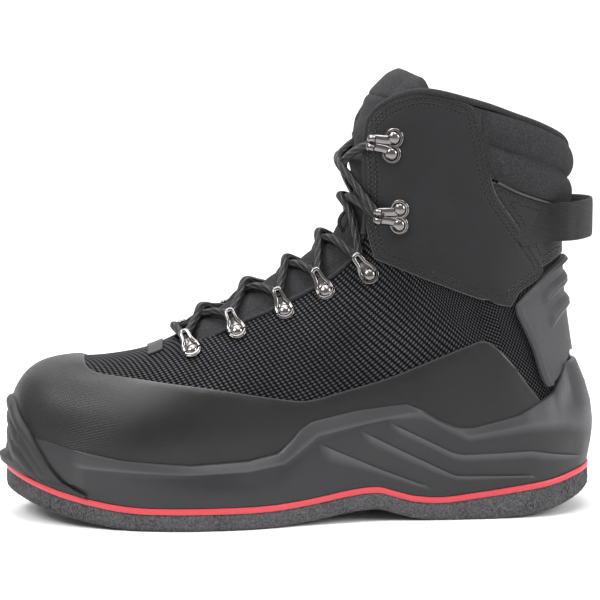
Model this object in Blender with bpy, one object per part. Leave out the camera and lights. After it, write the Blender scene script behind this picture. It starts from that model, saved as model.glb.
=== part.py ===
"""A left wading boot with a felt sole and a high laced ankle.

The toe points to -X, the outer side is -Y, and +Z is up. The origin is on the floor under the heel.
Places along the boot are shares of the sole's length, counted from the back of the heel. Heights are
shares of the collar's height, and places across are shares of the width at the ball of the foot.
"""

from math import cos, pi, radians, sin

import bmesh
import bpy
import numpy as np
from mathutils import Matrix, Vector
from mathutils.bvhtree import BVHTree

# Driving sizes, in metres
SOLE_LENGTH = 0.310
BALL_WIDTH = 0.110
COLLAR_HEIGHT = 0.220
HEEL_SHARE = 0.137
FELT_THICKNESS = 0.0085
FELT_EDGE = 0.0035
LINE_THICKNESS = 0.0030
CUP_FLOOR = 0.0035
RIM_WALL = 0.0028
LEDGE_STEP = 0.0011
CUP_EDGE = 0.0006
CUP_SWELL = 0.0008
HEEL_BULGE = 0.0025
BUMPER_THICKNESS = 0.0022
BUMPER_RECESS = 0.0013
INSOLE_THICKNESS = 0.0040
UPPER_WALL = 0.0022
PANEL_THICKNESS = 0.0010
ANKLE_THICKNESS = 0.0014
COUNTER_THICKNESS = 0.0024
COUNTER_RIB = 0.0026
COLLAR_PUFF = 0.0036
TONGUE_THICKNESS = 0.0050
STRAP_WIDTH = 0.0200
STRAP_THICKNESS = 0.0022
CORD_DIAMETER = 0.0043
RING_WIDTH = 0.0090
RING_LENGTH = 0.0165
RING_WIRE = 0.0019
RIVET_DIAMETER = 0.0078
RIVET_HEIGHT = 0.0022
HOOK_LENGTH = 0.0150
HOOK_THICKNESS = 0.0016
GAP = 0.0003

HEEL_BACK = HEEL_SHARE * SOLE_LENGTH

# One row for each section of the last, from the toe round to the collar. A section is a plane from a
# low point, on the cup's floor or the heel's back, to a top point on the vamp or the tongue. lift is
# the low point's height above the cup's floor, middle is the centre line, outer and inner are half
# widths, edge is the share of the half width left at the low point, belly is the share of the height
# where it is widest, and the last two round its upper part.
SECTION_COLUMNS = ("top_u", "top_v", "low_u", "lift", "middle", "outer", "inner", "edge", "belly", "rise",
                   "round")
SECTIONS = (
    (0.984, 0.268, 0.984, 0.001, 0.045, 0.000, 0.000, 0.90, 0.40, 2.4, 2.4),
    (0.969, 0.318, 0.977, 0.001, 0.045, 0.208, 0.200, 0.90, 0.40, 2.4, 2.4),
    (0.940, 0.352, 0.960, 0.001, 0.045, 0.285, 0.262, 0.90, 0.38, 2.4, 2.4),
    (0.895, 0.368, 0.924, 0.001, 0.041, 0.364, 0.323, 0.90, 0.36, 2.3, 2.3),
    (0.827, 0.374, 0.866, 0.001, 0.032, 0.436, 0.386, 0.91, 0.34, 2.2, 2.2),
    (0.756, 0.394, 0.795, 0.001, 0.018, 0.473, 0.423, 0.92, 0.33, 2.0, 2.0),
    (0.692, 0.436, 0.718, 0.001, 0.014, 0.473, 0.427, 0.92, 0.32, 1.9, 1.9),
    (0.631, 0.484, 0.627, 0.001, 0.018, 0.450, 0.400, 0.90, 0.31, 1.9, 1.8),
    (0.569, 0.534, 0.531, 0.001, 0.023, 0.418, 0.364, 0.87, 0.30, 1.9, 1.7),
    (0.508, 0.582, 0.427, 0.001, 0.027, 0.391, 0.336, 0.85, 0.30, 1.9, 1.7),
    (0.455, 0.641, 0.324, 0.001, 0.023, 0.373, 0.332, 0.86, 0.30, 2.0, 1.8),
    (0.421, 0.702, 0.221, 0.001, 0.014, 0.359, 0.332, 0.88, 0.30, 2.0, 2.0),
    (0.411, 0.741, 0.144, 0.001, 0.005, 0.350, 0.332, 0.87, 0.32, 2.2, 2.1),
    (0.410, 0.768, 0.085, 0.001, 0.000, 0.345, 0.336, 0.75, 0.34, 2.4, 2.3),
    (0.411, 0.786, 0.050, 0.001, 0.000, 0.341, 0.336, 0.50, 0.36, 2.7, 2.6),
    (0.411, 0.802, 0.031, 0.026, 0.000, 0.336, 0.336, 0.00, 0.38, 3.0, 2.9),
    (0.411, 0.818, 0.024, 0.090, 0.000, 0.336, 0.336, 0.00, 0.40, 3.2, 3.2),
    (0.411, 0.839, 0.027, 0.170, 0.000, 0.336, 0.336, 0.00, 0.42, 3.4, 3.4),
    (0.410, 0.859, 0.035, 0.265, 0.000, 0.336, 0.336, 0.00, 0.44, 3.5, 3.5),
    (0.408, 0.884, 0.045, 0.360, 0.000, 0.336, 0.336, 0.00, 0.46, 3.5, 3.5),
    (0.405, 0.909, 0.053, 0.455, 0.000, 0.341, 0.341, 0.00, 0.48, 3.5, 3.5),
    (0.400, 0.939, 0.055, 0.560, 0.000, 0.350, 0.350, 0.00, 0.50, 3.5, 3.5),
    (0.392, 0.970, 0.052, 0.663, 0.000, 0.364, 0.364, 0.00, 0.50, 3.5, 3.5),
    (0.383, 1.005, 0.050, 0.762, 0.000, 0.373, 0.373, 0.00, 0.50, 3.5, 3.5),
    (0.366, 1.055, 0.050, 0.835, 0.000, 0.377, 0.377, 0.00, 0.50, 3.2, 3.2),
    (0.345, 1.110, 0.050, 0.905, 0.000, 0.377, 0.377, 0.00, 0.50, 3.0, 3.0),
)
SEAT_ROW = 15.0
LAST_ROW = len(SECTIONS) - 1.0
THROAT_ROW = 5.7
# The rows at which the whole last is cut
LAST_ROWS = np.array([0, 0.3, 0.7, 1.2, 2, 3, 4, 5, 6, 7, 8, 9, 10, 11, 12, 13, 13.7, 14.3, 14.7, SEAT_ROW, 16, 17,
                      18, 19, 20, 21, 22, 23, 24])

# The sole's outline: (share of length, share of width) along each side, from the heel to the toe
OUTER_OUTLINE = ((0.000, 0.000), (0.013, -0.145), (0.045, -0.264), (0.110, -0.350), (0.226, -0.373),
                 (0.371, -0.377), (0.484, -0.423), (0.597, -0.495), (0.694, -0.509), (0.790, -0.468),
                 (0.877, -0.373), (0.942, -0.255), (0.981, -0.130), (1.000, 0.045))
INNER_OUTLINE = ((0.000, 0.000), (0.013, 0.145), (0.045, 0.259), (0.110, 0.336), (0.226, 0.327),
                 (0.371, 0.314), (0.484, 0.364), (0.613, 0.464), (0.716, 0.491), (0.806, 0.473),
                 (0.884, 0.405), (0.942, 0.323), (0.982, 0.214), (1.000, 0.045))
HEEL_FLAT = (0.110, 0.272)
BALL_FLAT = (0.589, 0.761)

# Curves of the side view: (share of length, share of height)
BOTTOM = ((0.000, 0.041), (0.032, 0.027), (0.071, 0.012), (0.110, 0.000), (0.137, 0.000),
          (0.272, 0.000), (0.313, 0.0055), (0.358, 0.0136), (0.403, 0.0182), (0.448, 0.0155),
          (0.500, 0.0073), (0.552, 0.0014), (0.589, 0.000), (0.761, 0.000), (0.800, 0.006),
          (0.839, 0.016), (0.881, 0.030), (0.929, 0.048), (0.971, 0.066), (1.000, 0.077))
RIM = ((0.000, 0.359), (0.047, 0.359), (0.060, 0.327), (0.079, 0.291), (0.098, 0.277), (0.144, 0.245),
       (0.221, 0.218), (0.247, 0.218), (0.279, 0.236), (0.311, 0.264), (0.334, 0.277), (0.415, 0.264),
       (0.489, 0.241), (0.508, 0.225), (0.521, 0.202), (0.544, 0.170), (0.595, 0.155), (0.692, 0.150),
       (0.805, 0.164), (0.885, 0.186), (0.921, 0.200), (0.963, 0.205), (1.000, 0.182))
CHAMFER = ((0.000, 0.209), (0.021, 0.209), (0.066, 0.227), (0.126, 0.223), (0.230, 0.198),
           (0.273, 0.234), (0.292, 0.255), (0.308, 0.259), (0.373, 0.243), (0.482, 0.211),
           (0.508, 0.182), (0.537, 0.150), (0.595, 0.136), (0.692, 0.132), (0.805, 0.141),
           (1.000, 0.155))
# Each ledge runs down from its start, and its step fades out at both ends
LEDGES = (
    dict(path=((0.000, 0.132), (0.027, 0.136), (0.126, 0.161), (0.240, 0.155), (0.258, 0.161),
               (0.366, 0.236), (0.411, 0.225), (0.482, 0.195), (0.537, 0.132), (0.595, 0.120),
               (0.692, 0.118), (0.805, 0.125), (1.000, 0.141)), ends=(0.030, 0.366)),
    dict(path=((0.000, 0.118), (0.105, 0.091), (0.132, 0.102), (0.247, 0.105), (0.258, 0.109),
               (0.344, 0.168), (0.413, 0.218), (0.482, 0.182), (0.537, 0.114), (0.595, 0.102),
               (0.692, 0.102), (0.805, 0.109), (1.000, 0.127)), ends=(0.105, 0.413)),
    dict(path=((0.000, 0.100), (0.234, 0.070), (0.292, 0.077), (0.376, 0.123), (0.482, 0.191),
               (0.537, 0.091), (0.595, 0.084), (0.692, 0.084), (0.805, 0.091), (1.000, 0.114)),
         ends=(0.292, 0.482)),
)
FACING = ((0.721, 0.423), (0.698, 0.416), (0.647, 0.434), (0.598, 0.464), (0.547, 0.493),
          (0.498, 0.527), (0.453, 0.564), (0.418, 0.609), (0.397, 0.664), (0.392, 0.727),
          (0.395, 0.795), (0.397, 0.864), (0.392, 0.923), (0.387, 0.941))
COLLAR = ((0.387, 0.941), (0.373, 0.966), (0.347, 0.989), (0.315, 1.000), (0.282, 0.995),
          (0.240, 0.980), (0.205, 0.966), (0.163, 0.945), (0.121, 0.925), (0.079, 0.900),
          (0.060, 0.882), (0.050, 0.864))
MESH_LINE = ((0.866, 0.370), (0.863, 0.361), (0.853, 0.351), (0.837, 0.345), (0.805, 0.341),
             (0.740, 0.332), (0.676, 0.323), (0.611, 0.309), (0.531, 0.291), (0.495, 0.289),
             (0.447, 0.305), (0.366, 0.336), (0.298, 0.373), (0.234, 0.409), (0.205, 0.423),
             (0.189, 0.414), (0.173, 0.391), (0.150, 0.355), (0.124, 0.305), (0.105, 0.273),
             (0.085, 0.218))
ANKLE_FRONT = ((0.382, 0.609), (0.392, 0.682), (0.395, 0.795), (0.398, 0.868), (0.394, 0.927))
ANKLE_TOP = ((0.394, 0.927), (0.373, 0.962), (0.347, 0.984), (0.315, 0.995), (0.282, 0.990),
             (0.240, 0.972), (0.223, 0.962))
ANKLE_BOTTOM = ((0.382, 0.609), (0.347, 0.591), (0.282, 0.555), (0.221, 0.523), (0.179, 0.505),
                (0.160, 0.500))
ANKLE_REAR = ((0.160, 0.500), (0.145, 0.534), (0.102, 0.584), (0.147, 0.682), (0.182, 0.750),
              (0.195, 0.791), (0.215, 0.914), (0.223, 0.962))
PAD_FRONT = ((0.193, 0.802), (0.212, 0.914), (0.219, 0.962))
PAD_BOTTOM = ((0.193, 0.802), (0.147, 0.770), (0.095, 0.745), (0.069, 0.732))
PAD_TOP = ((0.219, 0.962), (0.163, 0.939), (0.121, 0.919), (0.079, 0.894), (0.060, 0.876))
PAD_BACK = (0.725, 0.858)
BACK_FRONT = ((0.096, 0.590), (0.138, 0.684), (0.173, 0.752), (0.186, 0.790))
BACK_TOP = ((0.186, 0.790), (0.147, 0.764), (0.095, 0.739), (0.069, 0.726))
BACK_BOTTOM = ((0.096, 0.590), (0.078, 0.604), (0.062, 0.614))
BACK_BACK = (0.620, 0.719)
COUNTER_TOP = ((0.153, 0.503), (0.136, 0.528), (0.096, 0.576), (0.072, 0.597), (0.060, 0.605))
COUNTER_FRONT = ((0.097, 0.308), (0.108, 0.338), (0.124, 0.405), (0.149, 0.478), (0.153, 0.503))
COUNTER_BOTTOM = ((0.097, 0.308), (0.079, 0.322), (0.060, 0.357), (0.047, 0.384))
COUNTER_BACK = (0.386, 0.609)
COUNTER_RIBS = ((0.52, 0.085), (0.77, 0.085))

# Lace hardware on the side view: the rivet, and the point that the ring or hook reaches to
RINGS = (((0.686, 0.400), (0.700, 0.440)), ((0.611, 0.443), (0.625, 0.483)),
         ((0.531, 0.488), (0.543, 0.530)), ((0.463, 0.534), (0.476, 0.576)),
         ((0.391, 0.573), (0.409, 0.612)))
HOOKS = (((0.343, 0.712), (0.376, 0.718)), ((0.355, 0.876), (0.391, 0.888)))
HOOK_SPREAD = 0.0082
RING_LIFT = 0.0022
HOOK_WIDTH = 0.0070
LACE_CLEAR = 0.0007
BAR_SHIFT = 0.0052
LACE_SHORT = 0.0104
LOOP_SLANT = 0.8
TONGUE_SWELL = 0.0010
TONGUE_SINK = 0.0030
BUMPER_STEP = 0.0007
# The tongue's side edges, as girths from its root to its tip, and the rows of its rounded tip
TONGUE_EDGE = (48.0, 36.0, 30.0, 28.0)
TONGUE_TIP = (23.3, 24.1, 24.3, 24.0)
BUMPER_ENDS = (0.875, 0.862)
BUMPER_TOP = ((0.862, 0.085), (0.885, 0.105), (0.902, 0.125), (0.918, 0.155), (0.935, 0.185), (0.948, 0.215),
              (0.966, 0.250), (0.985, 0.275), (1.000, 0.283))
# The pull loop: where it lies on the last, then its free run round the back with its half width
LOOP_SEAT = ((0.168, 0.685), (0.130, 0.690), (0.100, 0.694))
LOOP_FREE = ((0.052, 0.699, 0.300), (0.016, 0.703, 0.170), (0.005, 0.705, 0.000))


def along(u):
    return HEEL_BACK - np.asarray(u, float) * SOLE_LENGTH


def height(v):
    return np.asarray(v, float) * COLLAR_HEIGHT


def bottom_height(x):
    table = np.asarray(BOTTOM)
    return np.interp((HEEL_BACK - x) / SOLE_LENGTH, table[:, 0], height(table[:, 1]))


def felt_top(x):
    u = (HEEL_BACK - x) / SOLE_LENGTH
    ends = np.maximum(np.clip(1 - u / HEEL_FLAT[0], 0, 1), np.clip((u - BALL_FLAT[1]) / (1 - BALL_FLAT[1]), 0, 1))
    return bottom_height(x) + FELT_THICKNESS + FELT_EDGE * ends


def line_top(x):
    return felt_top(x) + GAP + LINE_THICKNESS


def cup_floor(x):
    return line_top(x) + GAP + CUP_FLOOR


def through(values, where, before=None):
    """A smooth value at a row number that need not be whole."""
    values = np.asarray(values, float)
    first = 2 * values[0] - values[1] if before is None else before
    held = np.concatenate([[first], values, [2 * values[-1] - values[-2]]])
    where = np.asarray(where, float)
    row = np.clip(np.floor(where).astype(int), 0, len(values) - 2)
    t = where - row
    a, b, c, d = held[row], held[row + 1], held[row + 2], held[row + 3]
    return 0.5 * (2 * b + (c - a) * t + (2 * a - 5 * b + 4 * c - d) * t**2 + (3 * b - a - 3 * c + d) * t**3)


def section(s):
    """The section at row s, with lengths in metres. At the toe its widths close smoothly to nothing."""
    made = {}
    for column, name in enumerate(SECTION_COLUMNS):
        values = [row[column] for row in SECTIONS]
        before = {"top_u": values[1], "low_u": values[1], "outer": -values[1], "inner": -values[1]}.get(name)
        made[name] = through(values, s, before)
    made["edge"] = np.clip(made["edge"], 0, 1)
    low_x = along(made["low_u"])
    made["low"] = np.stack([low_x, cup_floor(low_x) + height(made["lift"])], -1)
    made["rise_to_top"] = np.stack([along(made["top_u"]), height(made["top_v"])], -1) - made["low"]
    return made


def last_point(s, girth, side):
    """A point on the last. girth runs from -90 at the low point to 90 at the top, in degrees."""
    s, girth = np.broadcast_arrays(np.asarray(s, float), np.asarray(girth, float))
    row = section(s)
    turn = np.radians(np.abs(girth))
    sine, cosine = np.sin(turn), np.clip(np.cos(turn), 0, 1)
    over = row["belly"] + (1 - row["belly"]) * sine ** (2 / row["rise"])
    under = row["belly"] * (1 - sine)
    share = np.where(girth >= 0, over, under)
    narrow = cosine ** (2 / row["round"])
    seat = np.sqrt(row["edge"] ** 2 + (1 - row["edge"] ** 2) * cosine**2)
    wide = np.where(girth >= 0, narrow, seat) * (row["outer"] if side < 0 else row["inner"])
    flat = row["low"] + row["rise_to_top"] * share[..., None]
    return np.stack([flat[..., 0], (row["middle"] + side * wide) * BALL_WIDTH, flat[..., 1]], -1)


def last_normal(s, girth, side):
    """The outward normal, kept in the middle plane where the two sides join."""
    s, girth = np.broadcast_arrays(np.asarray(s, float), np.asarray(girth, float))
    step, turn = 1e-3, 0.2
    forward = last_point(np.minimum(s + step, LAST_ROW), girth, side)
    back = last_point(np.maximum(s - step, 0), girth, side)
    up = last_point(s, np.minimum(girth + turn, 90), side)
    down = last_point(s, np.maximum(girth - turn, -90), side)
    normal = np.cross(forward - back, up - down) * -side
    joined = (girth >= 89.99) | ((girth <= -89.99) & (s >= SEAT_ROW - 1e-6)) | (s <= 1e-6)
    normal[..., 1] = np.where(joined, 0, normal[..., 1])
    return normal / np.linalg.norm(normal, axis=-1, keepdims=True)


def locate(points):
    """The (row, girth) of points of the side view, given in metres as (x, z)."""
    points = np.asarray(points, float)
    lowest, highest = np.zeros(len(points)), np.full(len(points), LAST_ROW)
    for _ in range(40):
        middle = (lowest + highest) / 2
        row = section(middle)
        rise = row["rise_to_top"]
        reach = points - row["low"]
        ahead = rise[:, 0] * reach[:, 1] - rise[:, 1] * reach[:, 0] < 0
        lowest, highest = np.where(ahead, middle, lowest), np.where(ahead, highest, middle)
    share = np.clip((reach * rise).sum(-1) / (rise * rise).sum(-1), 0, 1)
    belly = row["belly"]
    over = np.clip((share - belly) / (1 - belly), 0, 1) ** (row["rise"] / 2)
    under = np.clip(1 - share / belly, 0, 1)
    return middle, np.degrees(np.where(share >= belly, np.arcsin(over), -np.arcsin(under)))


def smooth_curve(points, count=60):
    """A smooth curve through hand-placed points, evenly spaced along its length."""
    points = np.asarray(points, float)
    dense = through_points(points, np.linspace(0, len(points) - 1, 12 * len(points)))
    steps = np.linalg.norm(np.diff(dense, axis=0), axis=1)
    run = np.concatenate([[0], np.cumsum(steps)])
    where = np.linspace(0, run[-1], count)
    return np.stack([np.interp(where, run, dense[:, k]) for k in range(points.shape[1])], -1)


def through_points(points, where):
    return np.stack([through(points[:, k], where) for k in range(points.shape[1])], -1)


def on_side(u, v):
    """The (row, girth) of one place of the side view, given as shares."""
    s, girth = locate([(along(u), height(v))])
    return float(s[0]), float(girth[0])


def side_curve(shares, back=None):
    """A curve of the side view laid on the last: a function from 0..1 to (row, girth). back is the height
    at which it goes on to the heel's back line, where it does."""
    flat = smooth_curve(shares)
    s, girth = locate(np.stack([along(flat[:, 0]), height(flat[:, 1])], -1))
    if back is not None:
        behind = np.linspace(0, 1, 30)[1:]
        s = np.concatenate([s, s[-1] + (back_row(back) - s[-1]) * behind])
        girth = np.concatenate([girth, girth[-1] + (-90 - girth[-1]) * behind])
    return shared(s, girth)


def back_row(v):
    """The row whose low point is at a height on the heel's back line."""
    rows = np.linspace(SEAT_ROW, LAST_ROW, 200)
    return np.interp(height(v), section(rows)["low"][:, 1], rows)


def shared(s, girth):
    share = np.linspace(0, 1, len(s))
    return lambda t: np.stack([np.interp(t, share, s), np.interp(t, share, girth)], -1)


def back_curve(v_low, v_high):
    """The stretch of the heel's back line between two heights."""
    return shared(back_row(np.linspace(v_low, v_high, 60)), np.full(60, -90.0))


def girth_over(curve_points):
    """The girth of a side-view curve as a function of the row, for a curve that runs along the boot."""
    flat = smooth_curve(curve_points, 200)
    s, girth = locate(np.stack([along(flat[:, 0]), height(flat[:, 1])], -1))
    order = np.argsort(s)
    return lambda rows: np.interp(rows, s[order], girth[order])


def lattice(s, girth, side):
    """A grid of the last's points: (points, normals, shares along and across, faces)."""
    rows, columns = s.shape
    points = last_point(s, girth, side).reshape(-1, 3)
    normals = last_normal(s, girth, side).reshape(-1, 3)
    a, b = np.meshgrid(np.linspace(0, 1, rows), np.linspace(0, 1, columns), indexing="ij")
    faces = []
    for i in range(rows - 1):
        for j in range(columns - 1):
            k = i * columns + j
            quad = (k, k + columns, k + columns + 1, k + 1)
            faces.append(quad if side < 0 else quad[::-1])
    return points, normals, np.stack([a.ravel(), b.ravel()], -1), faces


def filled(bottom, top, front, rear, columns, rows, side):
    """A patch of the last between four curves, as a Coons patch in row and girth."""
    a, b = np.meshgrid(np.linspace(0, 1, columns), np.linspace(0, 1, rows), indexing="ij")
    ruled = (1 - b)[..., None] * bottom(a) + b[..., None] * top(a)
    across = (1 - a)[..., None] * front(b) + a[..., None] * rear(b)
    corners = ((1 - a) * (1 - b))[..., None] * front(0.0) + (a * (1 - b))[..., None] * rear(0.0)
    corners = corners + ((1 - a) * b)[..., None] * front(1.0) + (a * b)[..., None] * rear(1.0)
    grid = ruled + across - corners
    return lattice(grid[..., 0], np.clip(grid[..., 1], -90, 90), side)


def joined(*sheets):
    """Several grids as one sheet, with the points that they share made one."""
    points = np.concatenate([sheet[0] for sheet in sheets])
    normals = np.concatenate([sheet[1] for sheet in sheets])
    shares = np.concatenate([sheet[2] for sheet in sheets])
    faces, shift = [], 0
    for sheet in sheets:
        faces += [tuple(k + shift for k in face) for face in sheet[3]]
        shift += len(sheet[0])
    _, first, index = np.unique(np.round(points * 1e6).astype(int), axis=0, return_index=True,
                                return_inverse=True)
    index = index.reshape(-1)
    whole = []
    for face in faces:
        kept = list(dict.fromkeys(int(index[k]) for k in face))
        if len(kept) > 2:
            whole.append(tuple(kept))
    return points[first], normals[first], shares[first], whole


def material(name, colour, roughness, metallic=0.0):
    made = bpy.data.materials.new(name)
    made.use_nodes = True
    shader = made.node_tree.nodes["Principled BSDF"]
    shader.inputs["Base Color"].default_value = colour
    shader.inputs["Roughness"].default_value = roughness
    shader.inputs["Metallic"].default_value = metallic
    return made


def solid(name, points, faces, finish):
    """An object from points and faces, with its faces turned outwards and quads kept."""
    mesh = bpy.data.meshes.new(name)
    mesh.from_pydata([tuple(map(float, p)) for p in points], [], faces)
    if finish:
        mesh.materials.append(finish)
    obj = bpy.data.objects.new(name, mesh)
    bpy.context.scene.collection.objects.link(obj)
    form = bmesh.new()
    form.from_mesh(mesh)
    bmesh.ops.recalc_face_normals(form, faces=form.faces)
    form.to_mesh(mesh)
    form.free()
    mesh.shade_smooth()
    mesh.set_sharp_from_angle(angle=radians(40))
    return obj


def thick(name, sheet, low, high, finish):
    """A closed shell between two offsets of a sheet of the last. An offset may be one per point."""
    points, normals, _, quads = sheet
    faces = [(face[0], face[k], face[k + 1]) for face in quads for k in range(1, len(face) - 1)]
    count = len(points)
    low, high = np.broadcast_to(low, count), np.broadcast_to(high, count)
    corners = np.concatenate([points + normals * high[:, None], points + normals * low[:, None]])
    edges = {}
    for face in faces:
        for a, b in zip(face, face[1:] + face[:1]):
            edges[(a, b)] = True
    rims = [(b, a, a + count, b + count) for a, b in edges if (b, a) not in edges]
    under = [tuple(k + count for k in reversed(face)) for face in faces]
    return solid(name, corners, list(faces) + under + rims, finish)


def boolean(obj, other, operation, folded=False):
    """obj with other cut from it, joined to it or kept in common, applied to its mesh."""
    modifier = obj.modifiers.new(operation, "BOOLEAN")
    modifier.operation = operation
    modifier.object = other
    modifier.use_self = folded
    graph = bpy.context.evaluated_depsgraph_get()
    made = bpy.data.meshes.new_from_object(obj.evaluated_get(graph))
    obj.modifiers.clear()
    obj.data = made
    bpy.data.objects.remove(other)
    return obj


def without_crumbs(obj):
    """obj with only its largest piece kept, once a cut has left crumbs of material beside it."""
    form = bmesh.new()
    form.from_mesh(obj.data)
    left, pieces = set(form.verts), []
    while left:
        piece, front = set(), [left.pop()]
        while front:
            vert = front.pop()
            piece.add(vert)
            for edge in vert.link_edges:
                other = edge.other_vert(vert)
                if other in left:
                    left.remove(other)
                    front.append(other)
        pieces.append(piece)
    pieces.sort(key=len)
    bmesh.ops.delete(form, geom=[vert for piece in pieces[:-1] for vert in piece], context="VERTS")
    form.to_mesh(obj.data)
    form.free()
    return obj


def trimmed(obj, *cutters):
    """obj with each cutter taken from it in turn. A cutter is a (sheet, low, high) of the last."""
    for sheet, low, high in cutters:
        boolean(obj, thick("cutter", sheet, low, high, None), "DIFFERENCE", folded=True)
    return obj


def prism(outline, sides=(-1, 1)):
    """A side-view outline in metres, drawn out across the boot on one side or on both."""
    ends = [-BALL_WIDTH if -1 in sides else 0.0, BALL_WIDTH if 1 in sides else 0.0]
    points = [(x, y, z) for y in ends for x, z in outline]
    count = len(outline)
    faces = [tuple(range(count)), tuple(reversed(range(count, 2 * count)))]
    faces += [(k, k + count, (k + 1) % count + count, (k + 1) % count) for k in range(count)]
    return solid("prism", points, faces, None)


def on_view(shares, count):
    """A smooth curve of the side view, in metres."""
    flat = smooth_curve(shares, count)
    return list(zip(along(flat[:, 0]), height(flat[:, 1])))


def overlay(name, upper, high, outline, finish, sides=(-1, 1)):
    """A layer over the upper, with the upper's own form, cut to an outline of the side view."""
    layer = thick(name, upper, GAP, GAP + high, finish)
    return boolean(layer, prism(outline, sides), "INTERSECT")


def half_upper(side, rows, columns):
    """One half of the upper: from the seat up to the vamp's ridge, the facing and the collar."""
    facing = girth_over(FACING)
    collar = side_curve(COLLAR)(np.linspace(0, 1, 80))
    corner_row, corner_girth = collar[0]
    a = rows[:, None] / rows[-1]
    b = np.linspace(0, 1, columns)[None, :]
    top = np.where(rows < THROAT_ROW, 90.0, facing(np.minimum(rows, corner_row)))
    back_row = collar[-1, 0]
    lower = np.where(rows > corner_row - 1, corner_row - 1 + (rows - corner_row + 1)
                     * (back_row - corner_row + 1) / (rows[-1] - corner_row + 1), rows)
    upper = np.where(rows > corner_row - 1, corner_row - 1 + (rows - corner_row + 1)
                     / (rows[-1] - corner_row + 1), rows)
    girth = -90 + (top[:, None] + 90) * b
    s = lower[:, None] + (upper - lower)[:, None] * b
    edge = np.interp(girth[-1], collar[::-1, 1], collar[::-1, 0])
    rise = np.clip((a - 0.80) / 0.20, 0, 1) ** 2
    s = s + (edge - s[-1])[None, :] * rise
    return lattice(s, girth, side)


def whole_last(offset, rows, columns):
    """The closed form of the last at an offset, down to the seat and up to its last row."""
    sheets = []
    for side in (-1, 1):
        girth = np.linspace(-90, 90, columns)[None, :].repeat(len(rows), 0)
        sheets.append(lattice(rows[:, None].repeat(columns, 1), girth, side))
    points, normals, _, faces = joined(*sheets)
    form = bmesh.new()
    verts = [form.verts.new(p) for p in points + normals * offset]
    for face in faces:
        form.faces.new([verts[k] for k in face])
    seat = [k for k in rows if k < SEAT_ROW]
    outer = last_point(np.array(seat), -90.0, -1)
    inner = last_point(np.array(seat), -90.0, 1)
    lookup = {tuple(np.round(p * 1e6).astype(int)): v for p, v in zip(points, verts)}
    pairs = [[lookup[tuple(np.round(p * 1e6).astype(int))] for p in pair] for pair in zip(outer, inner)]
    tip, heel = pairs[0][0], lookup[tuple(np.round(last_point(SEAT_ROW, -90.0, 1) * 1e6).astype(int))]
    pairs = pairs[1:]
    form.faces.new((tip, pairs[0][0], pairs[0][1]))
    for (a, b), (c, d) in zip(pairs, pairs[1:]):
        form.faces.new((a, c, d, b))
    form.faces.new((pairs[-1][0], heel, pairs[-1][1]))
    bmesh.ops.holes_fill(form, edges=[e for e in form.edges if e.is_boundary], sides=0)
    bmesh.ops.recalc_face_normals(form, faces=form.faces)
    mesh = bpy.data.meshes.new("last")
    form.to_mesh(mesh)
    form.free()
    obj = bpy.data.objects.new("last", mesh)
    bpy.context.scene.collection.objects.link(obj)
    obj.hide_render = True
    obj.display_type = "WIRE"
    return obj


def outline_at(u, side):
    """A point of the sole's outline and its outward normal, in the plan."""
    shares = np.asarray(OUTER_OUTLINE if side < 0 else INNER_OUTLINE)
    other = np.asarray(INNER_OUTLINE if side < 0 else OUTER_OUTLINE)
    loop = np.concatenate([other[2:0:-1], shares, other[-2:-4:-1]])
    dense = through_points(loop, np.linspace(2, len(shares) + 1, 40 * len(shares)))
    plan = np.stack([along(dense[:, 0]), dense[:, 1] * BALL_WIDTH], -1)
    run = np.gradient(plan, axis=0)
    normal = np.stack([-run[:, 1], run[:, 0]], -1) * -side
    normal /= np.linalg.norm(normal, axis=1, keepdims=True)
    normal[[0, -1], 1] = 0
    normal /= np.linalg.norm(normal, axis=1, keepdims=True)
    reach = np.maximum.accumulate(dense[:, 0])
    reach[-1] = 1.0
    where = np.interp(u, reach, np.arange(len(reach)))
    pick = lambda table: np.stack([np.interp(where, np.arange(len(table)), table[:, k]) for k in (0, 1)], -1)
    found = pick(normal)
    return pick(plan), found / np.linalg.norm(found, axis=1, keepdims=True)


def stations(detail):
    """The shares of length where the sole is cut: close at the ends, and at each bend of its side."""
    ends = [0.0, 0.004, 0.016, 0.034, 0.056, 0.082]
    heel = np.linspace(*HEEL_FLAT, 6 if detail else 3)
    waist = np.linspace(0.290, 0.570, 13 if detail else 9)
    ball = np.linspace(*BALL_FLAT, 5)
    toe = [0.800, 0.839, 0.876, 0.908, 0.936, 0.958, 0.976, 0.990, 0.998, 1.0]
    return np.array([*ends, *heel, *waist, *ball, *toe])


def ring_round(u, inset_of, height_of):
    """One closed ring of the sole's side: up the outer side from the heel, and back along the inner."""
    rings = []
    for side in (-1, 1):
        plan, normal = outline_at(u, side)
        place = plan - normal * np.asarray(inset_of(u, side))[:, None]
        rings.append(np.column_stack([place, height_of(u, side, place)]))
    return np.concatenate([rings[0], rings[1][-2:0:-1]])


def stacked(name, rings, finish):
    """A closed solid from rings of equal count, closed below and above by strips across the foot."""
    count = len(rings[0])
    half = count // 2
    faces = []
    for level in range(len(rings) - 1):
        for k in range(count):
            n = (k + 1) % count
            near, far = (level * count + k, (level + 1) * count + k), (level * count + n, (level + 1) * count + n)
            faces += [(near[0], far[0], far[1]), (near[0], far[1], near[1])]
    for level in (0, len(rings) - 1):
        base = level * count
        for k in range(half):
            corners = [base + k, base + k + 1, base + (count - k - 1) % count, base + (count - k) % count]
            faces.append(tuple(dict.fromkeys(corners)))
    return solid(name, np.concatenate(rings), faces, finish)


def constant(value):
    return lambda u, side: np.full(len(u), value)


def curve_height(table):
    held = np.asarray(table)
    return lambda u: np.interp(u, held[:, 0], height(held[:, 1]))


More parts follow.
